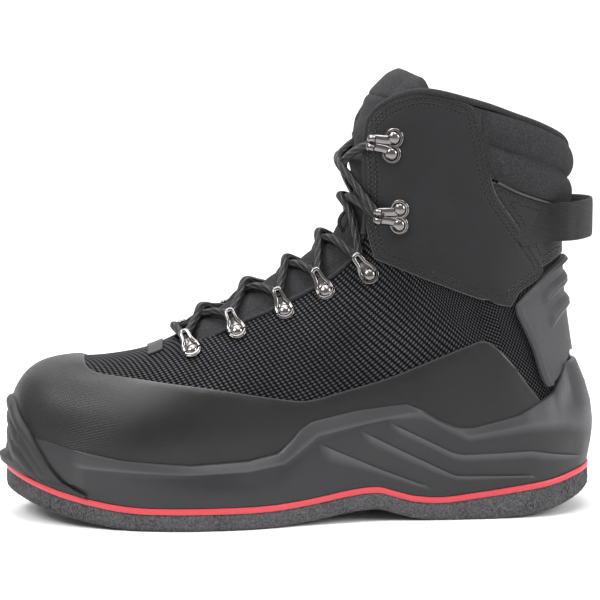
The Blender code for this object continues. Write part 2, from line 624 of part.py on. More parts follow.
def make_sole(finishes):
    u = stations(True)
    flat = lambda rise: (lambda u, side, place: rise(place[:, 0]))
    edge = 0.0012
    felt = [
        ring_round(u, constant(edge), flat(bottom_height)),
        ring_round(u, constant(0.0), flat(lambda x: bottom_height(x) + edge)),
        ring_round(u, constant(0.0), flat(felt_top)),
    ]
    stacked("outsole_felt", felt, finishes["felt"])
    line = [
        ring_round(u, constant(0.0002), flat(lambda x: felt_top(x) + GAP)),
        ring_round(u, constant(0.0004), flat(line_top)),
    ]
    stacked("sole_line", line, finishes["line"])


def bumper_cover(u, side):
    """1 where the toe bumper covers the sole's side, falling to 0 behind it."""
    return np.clip((u - BUMPER_ENDS[side < 0]) / 0.02, 0, 1)


def inset_to_upper(side, u, z, tree):
    """How far inside the outline the upper lies at each station, at the heights z."""
    plan, normal = outline_at(u, side)
    inset = []
    for place, out, level in zip(plan, normal, z):
        start = Vector((*(place + out * BALL_WIDTH), level))
        hit = tree.ray_cast(start, Vector((*-out, 0.0)))[0]
        inset.append((hit - start).length - BALL_WIDTH if hit else 0.0)
    return np.array(inset)


def cup_side(side, u, tree):
    """The cup's side at each station: a list of (inset, height), from the sole line up to the rim."""
    floor = line_top(outline_at(u, side)[0][:, 0]) + GAP
    rim = curve_height(RIM)(u)
    held = inset_to_upper(side, u, rim, tree) - RIM_WALL
    cover = bumper_cover(u, side)
    planned = []
    for ledge in reversed(LEDGES):
        path = curve_height(ledge["path"])(u)
        near, far = ledge["ends"]
        step = LEDGE_STEP * np.clip((u - near) / 0.02 + 1, 0, 1) * np.clip((far - u) / 0.02 + 1, 0, 1)
        planned += [(path, -step / 2), (path + LEDGE_STEP, step / 2)]
    planned += [(curve_height(CHAMFER)(u), -0.4 * LEDGE_STEP), (rim - LEDGE_STEP, 0.0), (rim, 0.7 * LEDGE_STEP)]
    made = [(CUP_EDGE + BUMPER_RECESS * cover, floor)]
    for k, (z, step) in enumerate(planned):
        z = np.minimum(np.maximum(z, made[-1][1] + CUP_EDGE), rim - CUP_EDGE * (len(planned) - 1 - k))
        share = np.clip((z - floor) / (rim - floor), 0, 1)
        bulge = HEEL_BULGE * np.clip(1 - u / 0.30, 0, 1) ** 0.6 * np.sin(pi * share)
        lean = CUP_EDGE + (held - CUP_EDGE) * share**2.2 - bulge - CUP_SWELL * np.sin(pi * share)
        clear = inset_to_upper(side, u, z, tree) - RIM_WALL
        made.append((np.minimum(lean, clear) + step * (1 - cover) + BUMPER_RECESS * cover, z))
    return made


def cup_block(name, tree, grown, finish):
    """The cup as a filled block, its side grown outwards by a distance."""
    u = stations(True)
    sides = {side: cup_side(side, u, tree) for side in (-1, 1)}
    rings = []
    for k in range(len(sides[1])):
        rings.append(ring_round(u, lambda _, side, k=k: sides[side][k][0] - grown,
                                lambda _, side, place, k=k: sides[side][k][1] + grown * (k > 8)))
    rings.append(ring_round(u, lambda _, side: sides[side][-1][0] + 3 * RIM_WALL,
                            lambda _, side, place: sides[side][-1][1] - CUP_EDGE + grown))
    return stacked(name, rings, finish)


def make_insole(finish, upper):
    """A flat bed on the cup's floor, inside the upper's lower edge."""
    rows = LAST_ROWS[LAST_ROWS <= SEAT_ROW]
    ring = np.concatenate([last_point(rows, -90.0, -1), last_point(rows, -90.0, 1)[-2:0:-1]])
    run = np.roll(ring, -1, 0) - np.roll(ring, 1, 0)
    inward = np.stack([run[:, 1], -run[:, 0]], -1)
    inward /= np.linalg.norm(inward, axis=1, keepdims=True)
    inward *= np.sign(((np.mean(ring[:, :2], 0) - ring[:, :2]) * inward).sum(-1))[:, None]
    ring[:, :2] += inward * (UPPER_WALL + 2 * GAP)
    bed = ring + np.array([0, 0, GAP])
    insole = stacked("insole", [bed, bed + np.array([0, 0, INSOLE_THICKNESS])], finish)
    trimmed(insole, (upper, -UPPER_WALL - 2 * GAP, UPPER_WALL))


def make_panels(finishes, upper):
    """The layers of the upper. The side panel is in one piece with the toe cap, and ends inside the cup."""
    under = (upper, -2 * UPPER_WALL, GAP)
    seat = [(x, cup_floor(x) + CUP_FLOOR) for x in along(np.linspace(-0.02, 1.02, 12))]
    cap = [(along(1.02), height(0.45)), (along(0.866), height(0.45))]
    outline = cap + on_view(MESH_LINE, 40) + seat[3:]
    overlay("side_panel", upper, PANEL_THICKNESS, outline, finishes["coated"])
    ankle = on_view(ANKLE_BOTTOM, 8)[:-1] + on_view(ANKLE_REAR, 12)[:-1]
    ankle += on_view(ANKLE_TOP, 12)[::-1][:-1] + on_view(ANKLE_FRONT, 7)[::-1][:-1]
    for side, name in ((-1, "outer"), (1, "inner")):
        overlay(f"ankle_panel_{name}", upper, ANKLE_THICKNESS, ankle, finishes["nubuck"], (side,))
    behind = [(along(-0.02), height(v)) for v in reversed(BACK_BACK)]
    back = on_view(BACK_FRONT, 8)[:-1] + on_view(BACK_TOP, 6) + behind + on_view(BACK_BOTTOM, 4)[::-1][1:-1]
    overlay("back_panel", upper, PANEL_THICKNESS, back, finishes["nubuck"])

    pad = wrapped(PAD_BOTTOM, PAD_TOP, PAD_FRONT, PAD_BACK, 8, 9)
    across = pad[2][:, 1]
    puff = COLLAR_PUFF * np.abs(np.sin(2 * pi * across)) ** 0.7
    trimmed(thick("collar_pad", pad, -GAP, GAP + PANEL_THICKNESS + puff, finishes["softshell"]), under)

    counter = wrapped(COUNTER_BOTTOM, COUNTER_TOP, COUNTER_FRONT, COUNTER_BACK, 8, 14)
    shares = counter[2]
    rib = sum(np.clip(1.6 - 1.6 * np.abs(shares[:, 1] - middle) / half, 0, 1)
              for middle, half in COUNTER_RIBS)
    rib = rib * np.clip((shares[:, 0] - 0.30) / 0.12, 0, 1)
    piping = np.maximum(np.clip(1 - shares[:, 0] / 0.12, 0, 1), np.clip((shares[:, 1] - 0.90) / 0.10, 0, 1))
    high = GAP + COUNTER_THICKNESS + COUNTER_RIB * rib + 0.4 * PANEL_THICKNESS * piping
    trimmed(thick("heel_counter", counter, -GAP, high, finishes["rubber"]), under)


def wrapped(bottom, top, front, back, columns, rows):
    """A patch that runs round the heel's back, from its front edge on one side to that on the other."""
    halves = []
    for side in (-1, 1):
        halves.append(filled(side_curve(bottom, back[0]), side_curve(top, back[1]), side_curve(front),
                             back_curve(*back), columns, rows, side))
    return joined(*halves)


def make_tongue(finish, upper):
    """A padded gutter under the facings, standing above the collar. It swells a little in the throat."""
    facing = girth_over(FACING)
    rows = np.array([6.15, 6.8, 7.7, 8.6, 9.5, 10.4, 11.4, 12.6, 14, 15.5, 17, 18.5, 20, 21.3, 22.6, 23.7])
    share = np.linspace(0, 1, 6)
    halves, highs = [], []
    tip = np.interp(share, (0, 0.35, 0.7, 1), TONGUE_TIP)
    for side in (-1, 1):
        low = np.interp(rows, (6.15, 9, 14, 24), TONGUE_EDGE)
        girth = low[:, None] + (90 - low)[:, None] * share[None, :]
        rise = np.clip((rows - 19) / (rows[-1] - 19), 0, 1)[:, None] ** 1.5
        s = rows[:, None] + rise * (tip - rows[-1])[None, :]
        halves.append(lattice(s, girth, side))
        inside = np.clip((girth - facing(rows)[:, None] - 12) / 20, 0, 1)
        sunk = np.interp(rows, (14, 21), (0, TONGUE_SINK))[:, None]
        free = np.clip((rows - 20.5) / 2.5, 0, 1)[:, None]
        highs.append((-(UPPER_WALL + 3 * GAP) + TONGUE_SWELL * inside * (1 - free) - sunk).ravel())
    points = np.concatenate([half[0] for half in halves])
    _, first = np.unique(np.round(points * 1e6).astype(int), axis=0, return_index=True)
    high = np.concatenate(highs)[first]
    tongue = thick("tongue", joined(*halves), high - TONGUE_THICKNESS, high, finish)
    trimmed(tongue, (upper, -UPPER_WALL - GAP, 2 * UPPER_WALL))


def make_bumper(finish, tree, upper):
    """A moulded wrap over the toe, seated on the cup's side and, above its rim, on the side panel."""
    parts = {}
    for side in (-1, 1):
        u = stations(True)
        u = u[u > BUMPER_ENDS[side < 0] + 0.012]
        cup = cup_side(side, u, tree)
        floor, rim = cup[0][1] + GAP, cup[-1][1]
        top = np.maximum(curve_height(BUMPER_TOP)(u), floor + 2 * BUMPER_THICKNESS)
        plan, normal = outline_at(u, side)
        inner, outer = [], []
        over_rim = np.maximum(top, rim + GAP)
        levels = [np.maximum(ring[1], floor) for ring in cup] + [rim + GAP, (rim + over_rim) / 2, over_rim]
        for k, z in enumerate(levels):
            z = np.minimum(z, top - CUP_EDGE / 2 * (len(levels) - 1 - k))
            wall = np.array([np.interp(level, [ring[1][n] for ring in cup], [ring[0][n] for ring in cup])
                             for n, level in enumerate(z)])
            over = inset_to_upper(side, u, z, tree)
            above = np.clip((z - rim) / BUMPER_THICKNESS, 0, 1) if k > len(cup) else 0 * z
            seat = np.where((z > rim + GAP / 2) & (k > len(cup)), over, wall) - GAP
            crease = BUMPER_STEP * (k in (5, 6))
            inner.append(np.column_stack([plan - normal * seat[:, None], z]))
            out = np.minimum(seat, wall + (over - wall) * above) - BUMPER_THICKNESS + crease
            outer.append(np.column_stack([plan - normal * out[:, None], z]))
        parts[side] = (np.array(inner), np.array(outer))
    skins = [np.concatenate([parts[-1][k], parts[1][k][:, -2::-1]], axis=1) for k in (0, 1)]
    bumper = shell("toe_bumper", skins[0], skins[1], finish)
    trimmed(bumper, (upper, -UPPER_WALL, 2 * GAP + PANEL_THICKNESS))
    boolean(bumper, cup_block("cutter", tree, GAP / 2, None), "DIFFERENCE", folded=True)


def shell(name, inner, outer, finish):
    """A closed solid between two grids of equal shape."""
    rows, columns = inner.shape[:2]
    faces = []
    for i in range(rows - 1):
        for j in range(columns - 1):
            k = i * columns + j
            faces += [(k, k + 1, k + columns + 1), (k, k + columns + 1, k + columns)]
    count = rows * columns
    edges = {(a, b) for face in faces for a, b in zip(face, face[1:] + face[:1])}
    rims = [(b, a, a + count, b + count) for a, b in edges if (b, a) not in edges]
    under = [tuple(k + count for k in reversed(face)) for face in faces]
    points = np.concatenate([outer.reshape(-1, 3), inner.reshape(-1, 3)])
    return solid(name, points, faces + under + rims, finish)


def strip(name, path, across, thickness, finish):
    """A flat band along a path. across gives half its width as a vector at each point."""
    path, across = np.asarray(path), np.asarray(across)
    run = np.gradient(path, axis=0)
    out = np.cross(run, across)
    out *= thickness / 2 / np.linalg.norm(out, axis=1, keepdims=True)
    rings = np.stack([path + across + out, path + across - out, path - across - out, path - across + out], 1)
    count = len(path)
    faces = [(0, 1, 2, 3), tuple(4 * (count - 1) + k for k in (3, 2, 1, 0))]
    for i in range(count - 1):
        for k in range(4):
            n = (k + 1) % 4
            faces.append((4 * i + k, 4 * i + 4 + k, 4 * i + 4 + n, 4 * i + n))
    return solid(name, rings.reshape(-1, 3), faces, finish)


def make_pull_loop(finish, upper):
    """Webbing from one side of the heel to the other, standing off its back."""
    stand = 4 * GAP + ANKLE_THICKNESS + STRAP_THICKNESS / 2
    route = []
    for u, v in LOOP_SEAT:
        s, girth = on_side(u, v)
        route.append(last_point(s, girth, -1) + last_normal(s, girth, -1) * stand)
    for u, v, width in LOOP_FREE:
        route.append(np.array([along(u), -width * BALL_WIDTH, height(v)]))
    route = np.array(route)
    route = np.concatenate([route, route[-2::-1] * (1, -1, 1)])
    path = smooth_curve(route, 25)
    share = np.linspace(0, 1, len(path))
    slant = np.clip(1 - np.minimum(share, 1 - share) / 0.12, 0, 1)
    across = np.stack([-LOOP_SLANT * slant, 0 * slant, 0 * slant + 1], -1) * STRAP_WIDTH / 2
    loop = strip("pull_loop", path, across, STRAP_THICKNESS, finish)
    trimmed(loop, (upper, -UPPER_WALL, 2 * GAP + ANKLE_THICKNESS))


def tube(name, path, diameter, finish, sides=6):
    """A closed round rod along a path."""
    path = np.asarray(path)
    run = np.gradient(path, axis=0)
    run /= np.linalg.norm(run, axis=1, keepdims=True)
    level = np.cross(run, (0, 0, 1.0))
    level /= np.linalg.norm(level, axis=1, keepdims=True)
    rise = np.cross(level, run)
    turns = np.linspace(0, 2 * pi, sides, endpoint=False) + pi / sides
    rings = [p + diameter / 2 * (np.outer(np.cos(turns), a) + np.outer(np.sin(turns), b))
             for p, a, b in zip(path, level, rise)]
    faces = [tuple(range(sides)), tuple(len(path) * sides - 1 - k for k in range(sides))]
    for i in range(len(path) - 1):
        for k in range(sides):
            n = (k + 1) % sides
            faces.append((i * sides + k, i * sides + sides + k, i * sides + sides + n, i * sides + n))
    return solid(name, np.concatenate(rings), faces, finish)


def turned(name, profile, sides, finish):
    """A closed solid of revolution about Z from (radius, height) points, from its foot to its crown."""
    rings = [[(r * cos(2 * pi * k / sides), r * sin(2 * pi * k / sides), z) for k in range(sides)]
             for r, z in profile]
    faces = [tuple(range(sides)), tuple(len(profile) * sides - 1 - k for k in range(sides))]
    for i in range(len(profile) - 1):
        for k in range(sides):
            n = (k + 1) % sides
            faces.append((i * sides + k, i * sides + sides + k, i * sides + sides + n, i * sides + n))
    return solid(name, np.concatenate(rings), faces, finish)


def rivet(name, place, finish):
    half = RIVET_DIAMETER / 2
    cap = turned(name, ((half, 0), (half, RIVET_HEIGHT * 0.5), (half * 0.5, RIVET_HEIGHT)), 7, finish)
    cap.data.transform(Matrix.Translation((*place, 0)))
    return cap


def ring_mesh(finish):
    """A rivet with a wire bow, lying on XY with the rivet at the origin and the bow towards +X."""
    reach, half = RING_LENGTH - RIVET_DIAMETER / 2 - RING_WIRE / 2, (RING_WIDTH - RING_WIRE) / 2
    bow = [(0.10 * reach, -0.6 * half), (0.62 * reach, -half), (0.92 * reach, -0.65 * half), (reach, 0)]
    bow += [(x, -y) for x, y in bow[-2::-1]]
    path = [(x, y, RING_WIRE * 0.55 + RING_LIFT * x / reach) for x, y in bow]
    made = boolean(rivet("ring", (0, 0), finish), tube("bow", path, RING_WIRE, finish, 4), "UNION")
    return made


def hook_mesh(finish):
    """Two rivets and an open hook, lying on XY with the hook towards +X and curling back over itself."""
    pair = [rivet(name, (0, way * HOOK_SPREAD / 2), finish) for name, way in (("hook", 1), ("second", -1))]
    made = boolean(*pair, "UNION")
    reach, thick_half = HOOK_LENGTH - RIVET_DIAMETER / 2, HOOK_THICKNESS * 0.5
    side = [(-0.10 * reach, thick_half), (0.45 * reach, thick_half + 0.02 * reach),
            (0.80 * reach, 0.16 * reach), (reach, 0.34 * reach), (0.96 * reach, 0.50 * reach),
            (0.72 * reach, 0.54 * reach)]
    path = [(x, 0, z) for x, z in side]
    widths = (1.0, 0.75, 0.62, 0.62, 0.60, 0.50)
    arm = strip("arm", path, [(0, HOOK_WIDTH / 2 * w, 0) for w in widths], HOOK_THICKNESS, finish)
    return boolean(made, arm, "UNION")


def seated(name, mesh, s, girth, side, toward, lift):
    """A copy of a fitting on the last at (s, girth), turned to point at another place."""
    place = Vector(last_point(s, girth, side) + last_normal(s, girth, side) * lift)
    normal = Vector(last_normal(s, girth, side))
    ahead = Vector(last_point(*toward, side)) - place
    ahead = (ahead - normal * ahead.dot(normal)).normalized()
    frame = Matrix((ahead, normal.cross(ahead), normal)).transposed().to_4x4()
    frame.translation = place
    obj = bpy.data.objects.new(name, mesh)
    bpy.context.scene.collection.objects.link(obj)
    obj.matrix_world = frame
    return obj


def make_hardware(finish):
    ring, hook = ring_mesh(finish), hook_mesh(finish)
    for side, where in ((-1, "outer"), (1, "inner")):
        for number, (foot, tip) in enumerate(RINGS, 1):
            seated(f"lace_ring_{where}_{number}", ring.data, *on_side(*foot), side, on_side(*tip), GAP)
        for number, (foot, tip) in enumerate(HOOKS, 1):
            lift = GAP + ANKLE_THICKNESS + GAP
            seated(f"lace_hook_{where}_{number}", hook.data, *on_side(*foot), side, on_side(*tip), lift)
    bpy.data.objects.remove(ring)
    bpy.data.objects.remove(hook)


def eye_of(fitting, reach, lift):
    """Where the lace passes a fitting, and that place's row and girth."""
    eye = np.array(fitting.matrix_world @ Vector((reach, 0, lift)))
    s, girth = locate([(eye[0], eye[2])])
    return eye, float(s[0]), float(girth[0])


def over_tongue(start, end, side, count=8):
    """A lace's run over the throat, from a fitting on one side to one on the other, clear of the last."""
    share = np.linspace(0, 1, count)
    s = start[1] + (end[1] - start[1]) * share
    turn = -(90 - start[2]) + (180 - start[2] - end[2]) * share
    lift = CORD_DIAMETER / 2 + LACE_CLEAR + (ANKLE_THICKNESS + GAP) * np.clip((s - 12) / 1.5, 0, 1)
    path = []
    for row, angle, t, over in zip(s, turn, share, lift):
        where = side if angle < 0 else -side
        laid = last_point(row, 90 - abs(angle), where) + last_normal(row, 90 - abs(angle), where) * over
        near = (start if t < 0.5 else end)[0]
        hold = np.clip(1 - min(t, 1 - t) / 0.30, 0, 1) ** 2
        mirror = side * (-1 if t >= 0.5 else 1) * np.sign(near[1])
        path.append(laid * (1 - hold) + near * (1, mirror, 1) * hold)
    path = np.array(path)
    dense = smooth_curve(path, 200)
    run = np.linalg.norm(np.diff(dense, axis=0), axis=1).sum()
    kept = np.linspace(LACE_SHORT / run, 1 - LACE_SHORT / run, count)
    return np.stack([np.interp(kept, np.linspace(0, 1, 200), dense[:, k]) for k in range(3)], -1)


def make_laces(finish):
    """The lace's bottom bar and its crossings. Each pair of legs is joined where it crosses."""
    reach = RING_LENGTH - RIVET_DIAMETER / 2
    eyes = []
    kinds = (("ring", len(RINGS), 0.62 * reach, 2.6 * RING_WIRE), ("hook", len(HOOKS), 0.5 * reach, 2.5 * RING_WIRE))
    for kind, count, near, lift in kinds:
        for number in range(1, count + 1):
            eyes.append(eye_of(bpy.data.objects[f"lace_{kind}_outer_{number}"], near, lift))
    ahead = np.array([-BAR_SHIFT, 0, -BAR_SHIFT / 3])
    bar = over_tongue(eyes[0], eyes[0], -1) + ahead
    tube("lace_bar", bar, CORD_DIAMETER, finish, 5)
    for number, (low, high) in enumerate(zip(eyes, eyes[1:]), 1):
        legs = [tube("leg", over_tongue(low, high, side), CORD_DIAMETER, finish, 5) for side in (-1, 1)]
        boolean(legs[0], legs[1], "UNION").name = f"lace_crossing_{number}"


def main():
    for obj in list(bpy.data.objects):
        bpy.data.objects.remove(obj)
    finishes = {
        "felt": material("felt", (0.030, 0.029, 0.030, 1), 0.95),
        "line": material("coral rubber", (0.745, 0.085, 0.107, 1), 0.5),
        "midsole": material("moulded foam", (0.022, 0.022, 0.025, 1), 0.55),
        "rubber": material("matt rubber", (0.024, 0.024, 0.026, 1), 0.7),
        "mesh": material("woven mesh", (0.010, 0.010, 0.012, 1), 0.8),
        "coated": material("coated panel", (0.014, 0.014, 0.016, 1), 0.45),
        "nubuck": material("smooth nubuck", (0.016, 0.016, 0.018, 1), 0.7),
        "softshell": material("softshell", (0.012, 0.012, 0.013, 1), 0.85),
        "webbing": material("webbing", (0.018, 0.018, 0.020, 1), 0.6),
        "cord": material("lace cord", (0.010, 0.010, 0.011, 1), 0.6),
        "nickel": material("dark nickel", (0.35, 0.34, 0.34, 1), 0.25, 1.0),
        "foam": material("insole foam", (0.020, 0.020, 0.022, 1), 0.9),
    }
    upper_rows = np.array([0, 0.4, 1, 1.8, 2.8, 3.8, 4.8, 5.4, THROAT_ROW, THROAT_ROW + 0.12, 6.3, 7, 8, 9, 10,
                           11, 12, 13, 14, 14.6, SEAT_ROW, 16, 17.5, 19, 20.5, 22, 23])
    upper = joined(half_upper(-1, upper_rows, 9), half_upper(1, upper_rows, 9))
    thick("upper", upper, -UPPER_WALL, 0.0, finishes["mesh"])
    make_sole(finishes)
    envelope = whole_last(2 * GAP + PANEL_THICKNESS, LAST_ROWS, 19)
    tree = BVHTree.FromObject(envelope, bpy.context.evaluated_depsgraph_get())
    bpy.data.objects.remove(envelope)
    hollow = whole_last(0.0, LAST_ROWS, 11)
    hollow.data.transform(Matrix.Translation((0, 0, -2 * GAP)))
    cup = boolean(cup_block("midsole", tree, 0.0, finishes["midsole"]), hollow, "DIFFERENCE")
    trimmed(cup, (upper, -UPPER_WALL - 2 * GAP, 3 * GAP + PANEL_THICKNESS))
    seat = thick("seat", upper, -UPPER_WALL - GAP, 2 * GAP + PANEL_THICKNESS, None)
    seat.data.transform(Matrix.Translation((0, 0, -1.5 * GAP)))
    without_crumbs(boolean(cup, seat, "DIFFERENCE", folded=True))
    make_insole(finishes["foam"], upper)
    make_panels(finishes, upper)
    make_tongue(finishes["softshell"], upper)
    make_bumper(finishes["rubber"], tree, upper)
    make_pull_loop(finishes["webbing"], upper)
    make_hardware(finishes["nickel"])
    make_laces(finishes["cord"])


main()
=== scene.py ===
"""The look of a left wading boot with a felt sole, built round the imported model.

The toe points to -X, the outer side is -Y, and +Z is up. Places along the boot are shares of the sole's
length, counted from the back of the heel, and heights are shares of the collar's height. Lengths in the
tables of folds, seams and stitches are in millimetres.
"""

from math import cos, pi, radians, sin

import bmesh
import bpy
import numpy as np
from mathutils import Matrix, Vector
from mathutils.bvhtree import BVHTree


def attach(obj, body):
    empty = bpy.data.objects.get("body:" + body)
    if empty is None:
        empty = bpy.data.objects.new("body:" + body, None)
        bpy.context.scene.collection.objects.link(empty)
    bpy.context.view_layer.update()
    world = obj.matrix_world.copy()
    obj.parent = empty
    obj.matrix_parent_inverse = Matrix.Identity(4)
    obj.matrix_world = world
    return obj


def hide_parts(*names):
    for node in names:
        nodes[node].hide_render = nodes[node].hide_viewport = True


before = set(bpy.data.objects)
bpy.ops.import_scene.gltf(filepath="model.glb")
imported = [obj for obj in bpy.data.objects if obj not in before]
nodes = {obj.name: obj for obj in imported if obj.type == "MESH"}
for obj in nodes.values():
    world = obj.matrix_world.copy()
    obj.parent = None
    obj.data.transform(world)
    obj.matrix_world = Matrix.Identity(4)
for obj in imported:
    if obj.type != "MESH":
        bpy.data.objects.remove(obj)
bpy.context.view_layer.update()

MM = 0.001
SOLE_LENGTH = 0.310
BALL_WIDTH = 0.110
COLLAR_HEIGHT = 0.220
HEEL_BACK = 0.137 * SOLE_LENGTH
FELT_THICKNESS = 0.0085
FELT_EDGE = 0.0035
LINE_THICKNESS = 0.0030
CUP_FLOOR = 0.0035
RIM_WALL = 0.0028
LEDGE_STEP = 0.0011
# How much lighter the chamfer and the rim are painted: painted highlight, partly also wear.
CHAMFER_HIGHLIGHT_AND_WEAR = 0.8
RIM_HIGHLIGHT_AND_WEAR = 0.35
CUP_EDGE = 0.0006
CUP_SWELL = 0.0008
CUP_FOOT = 0.004
CUP_RISE = 2.2
END_FADE = 0.02
LEAST_STEP = 0.0001
HEEL_BULGE = 0.0025
BUMPER_RECESS = 0.0013
UPPER_WALL = 0.0022
PANEL_THICKNESS = 0.0010
ANKLE_THICKNESS = 0.0014
SEAM_ROWS = (2.3, 5.0)
SEAM_DEPTH = 0.00022
COUNTER_THICKNESS = 0.0024
COUNTER_RIB = 0.0026
COUNTER_PIPING = 0.0017
COUNTER_BORDER = 0.0011
COLLAR_PUFF = 0.0036
TONGUE_THICKNESS = 0.0050
STRAP_WIDTH = 0.0200
STRAP_THICKNESS = 0.0022
CORD_DIAMETER = 0.0043
LACE_CLEAR = 0.0004
BAR_FORWARD = 0.0045
BAR_DOWN = 0.0010
GAP = 0.0003

# One row for each section of the last, from the toe round to the collar, as in the model
SECTION_COLUMNS = ("top_u", "top_v", "low_u", "lift", "middle", "outer", "inner", "edge", "belly", "rise",
                   "round")
SECTIONS = (
    (0.984, 0.268, 0.984, 0.001, 0.045, 0.000, 0.000, 0.90, 0.40, 2.4, 2.4),
    (0.969, 0.318, 0.977, 0.001, 0.045, 0.208, 0.200, 0.90, 0.40, 2.4, 2.4),
    (0.940, 0.352, 0.960, 0.001, 0.045, 0.285, 0.262, 0.90, 0.38, 2.4, 2.4),
    (0.895, 0.368, 0.924, 0.001, 0.041, 0.364, 0.323, 0.90, 0.36, 2.3, 2.3),
    (0.827, 0.374, 0.866, 0.001, 0.032, 0.436, 0.386, 0.91, 0.34, 2.2, 2.2),
    (0.756, 0.394, 0.795, 0.001, 0.018, 0.473, 0.423, 0.92, 0.33, 2.0, 2.0),
    (0.692, 0.436, 0.718, 0.001, 0.014, 0.473, 0.427, 0.92, 0.32, 1.9, 1.9),
    (0.631, 0.484, 0.627, 0.001, 0.018, 0.450, 0.400, 0.90, 0.31, 1.9, 1.8),
    (0.569, 0.534, 0.531, 0.001, 0.023, 0.418, 0.364, 0.87, 0.30, 1.9, 1.7),
    (0.508, 0.582, 0.427, 0.001, 0.027, 0.391, 0.336, 0.85, 0.30, 1.9, 1.7),
    (0.455, 0.641, 0.324, 0.001, 0.023, 0.373, 0.332, 0.86, 0.30, 2.0, 1.8),
    (0.421, 0.702, 0.221, 0.001, 0.014, 0.359, 0.332, 0.88, 0.30, 2.0, 2.0),
    (0.411, 0.741, 0.144, 0.001, 0.005, 0.350, 0.332, 0.87, 0.32, 2.2, 2.1),
    (0.410, 0.768, 0.085, 0.001, 0.000, 0.345, 0.336, 0.75, 0.34, 2.4, 2.3),
    (0.411, 0.786, 0.050, 0.001, 0.000, 0.341, 0.336, 0.50, 0.36, 2.7, 2.6),
    (0.411, 0.802, 0.031, 0.026, 0.000, 0.336, 0.336, 0.00, 0.38, 3.0, 2.9),
    (0.411, 0.818, 0.024, 0.090, 0.000, 0.336, 0.336, 0.00, 0.40, 3.2, 3.2),
    (0.411, 0.839, 0.027, 0.170, 0.000, 0.336, 0.336, 0.00, 0.42, 3.4, 3.4),
    (0.410, 0.859, 0.035, 0.265, 0.000, 0.336, 0.336, 0.00, 0.44, 3.5, 3.5),
    (0.408, 0.884, 0.045, 0.360, 0.000, 0.336, 0.336, 0.00, 0.46, 3.5, 3.5),
    (0.405, 0.909, 0.053, 0.455, 0.000, 0.341, 0.341, 0.00, 0.48, 3.5, 3.5),
    (0.400, 0.939, 0.055, 0.560, 0.000, 0.350, 0.350, 0.00, 0.50, 3.5, 3.5),
    (0.392, 0.970, 0.052, 0.663, 0.000, 0.364, 0.364, 0.00, 0.50, 3.5, 3.5),
    (0.383, 1.005, 0.050, 0.762, 0.000, 0.373, 0.373, 0.00, 0.50, 3.5, 3.5),
    (0.366, 1.055, 0.050, 0.835, 0.000, 0.377, 0.377, 0.00, 0.50, 3.2, 3.2),
    (0.345, 1.110, 0.050, 0.905, 0.000, 0.377, 0.377, 0.00, 0.50, 3.0, 3.0),
)
SEAT_ROW = 15.0
LAST_ROW = len(SECTIONS) - 1.0

# The sole's outline: (share of length, share of width) along each side, from the heel to the toe
OUTER_OUTLINE = ((0.000, 0.000), (0.013, -0.145), (0.045, -0.264), (0.110, -0.350), (0.226, -0.373),
                 (0.371, -0.377), (0.484, -0.423), (0.597, -0.495), (0.694, -0.509), (0.790, -0.468),
                 (0.877, -0.373), (0.942, -0.255), (0.981, -0.130), (1.000, 0.045))
INNER_OUTLINE = ((0.000, 0.000), (0.013, 0.145), (0.045, 0.259), (0.110, 0.336), (0.226, 0.327),
                 (0.371, 0.314), (0.484, 0.364), (0.613, 0.464), (0.716, 0.491), (0.806, 0.473),
                 (0.884, 0.405), (0.942, 0.323), (0.982, 0.214), (1.000, 0.045))
HEEL_TURN = 0.110
TOE_TURN = 0.761
# The felt's underside in the model, which sets the last's floor
BOTTOM = ((0.000, 0.041), (0.032, 0.027), (0.071, 0.012), (0.110, 0.000), (0.137, 0.000),
          (0.272, 0.000), (0.313, 0.0055), (0.358, 0.0136), (0.403, 0.0182), (0.448, 0.0155),
          (0.500, 0.0073), (0.552, 0.0014), (0.589, 0.000), (0.761, 0.000), (0.800, 0.002),
          (0.839, 0.009), (0.881, 0.018), (0.929, 0.033), (0.971, 0.053), (1.000, 0.067))
# How far in from the sole's edge the last may stand; a ray that goes deeper has passed through its seam
DEEPEST_INSET = 0.030
# The felt's underside and its extra height, as the side view shows them
SOLE_BOTTOM = ((0.000, 0.055), (0.032, 0.042), (0.045, 0.035), (0.085, 0.016), (0.133, 0.006),
               (0.190, 0.000), (0.280, 0.000), (0.325, 0.007), (0.352, 0.018), (0.378, 0.030),
               (0.405, 0.0295), (0.440, 0.023), (0.475, 0.014), (0.510, 0.007), (0.552, 0.0014),
               (0.589, 0.000), (0.761, 0.000), (0.800, 0.002), (0.839, 0.009), (0.881, 0.018),
               (0.929, 0.033), (0.971, 0.053), (1.000, 0.067))
FELT_GROWTH = ((0.000, 0.002), (0.030, 0.012), (0.090, 0.020), (0.145, 0.020), (0.200, 0.014),
               (0.260, 0.003), (0.300, 0.000), (0.780, 0.000), (0.930, 0.003), (1.000, 0.005))
RIM = ((0.000, 0.359), (0.047, 0.359), (0.060, 0.327), (0.079, 0.291), (0.098, 0.277), (0.144, 0.245),
       (0.221, 0.218), (0.247, 0.218), (0.279, 0.236), (0.311, 0.264), (0.334, 0.277), (0.415, 0.264),
       (0.489, 0.241), (0.508, 0.225), (0.521, 0.202), (0.544, 0.170), (0.595, 0.155), (0.692, 0.150),
       (0.805, 0.164), (0.885, 0.186), (0.921, 0.200), (0.963, 0.205), (1.000, 0.182))
CHAMFER = ((0.000, 0.209), (0.021, 0.209), (0.066, 0.227), (0.126, 0.223), (0.230, 0.198),
           (0.273, 0.234), (0.292, 0.255), (0.308, 0.259), (0.373, 0.243), (0.482, 0.211),
           (0.508, 0.182), (0.537, 0.150), (0.595, 0.136), (0.692, 0.132), (0.805, 0.141),
           (1.000, 0.155))
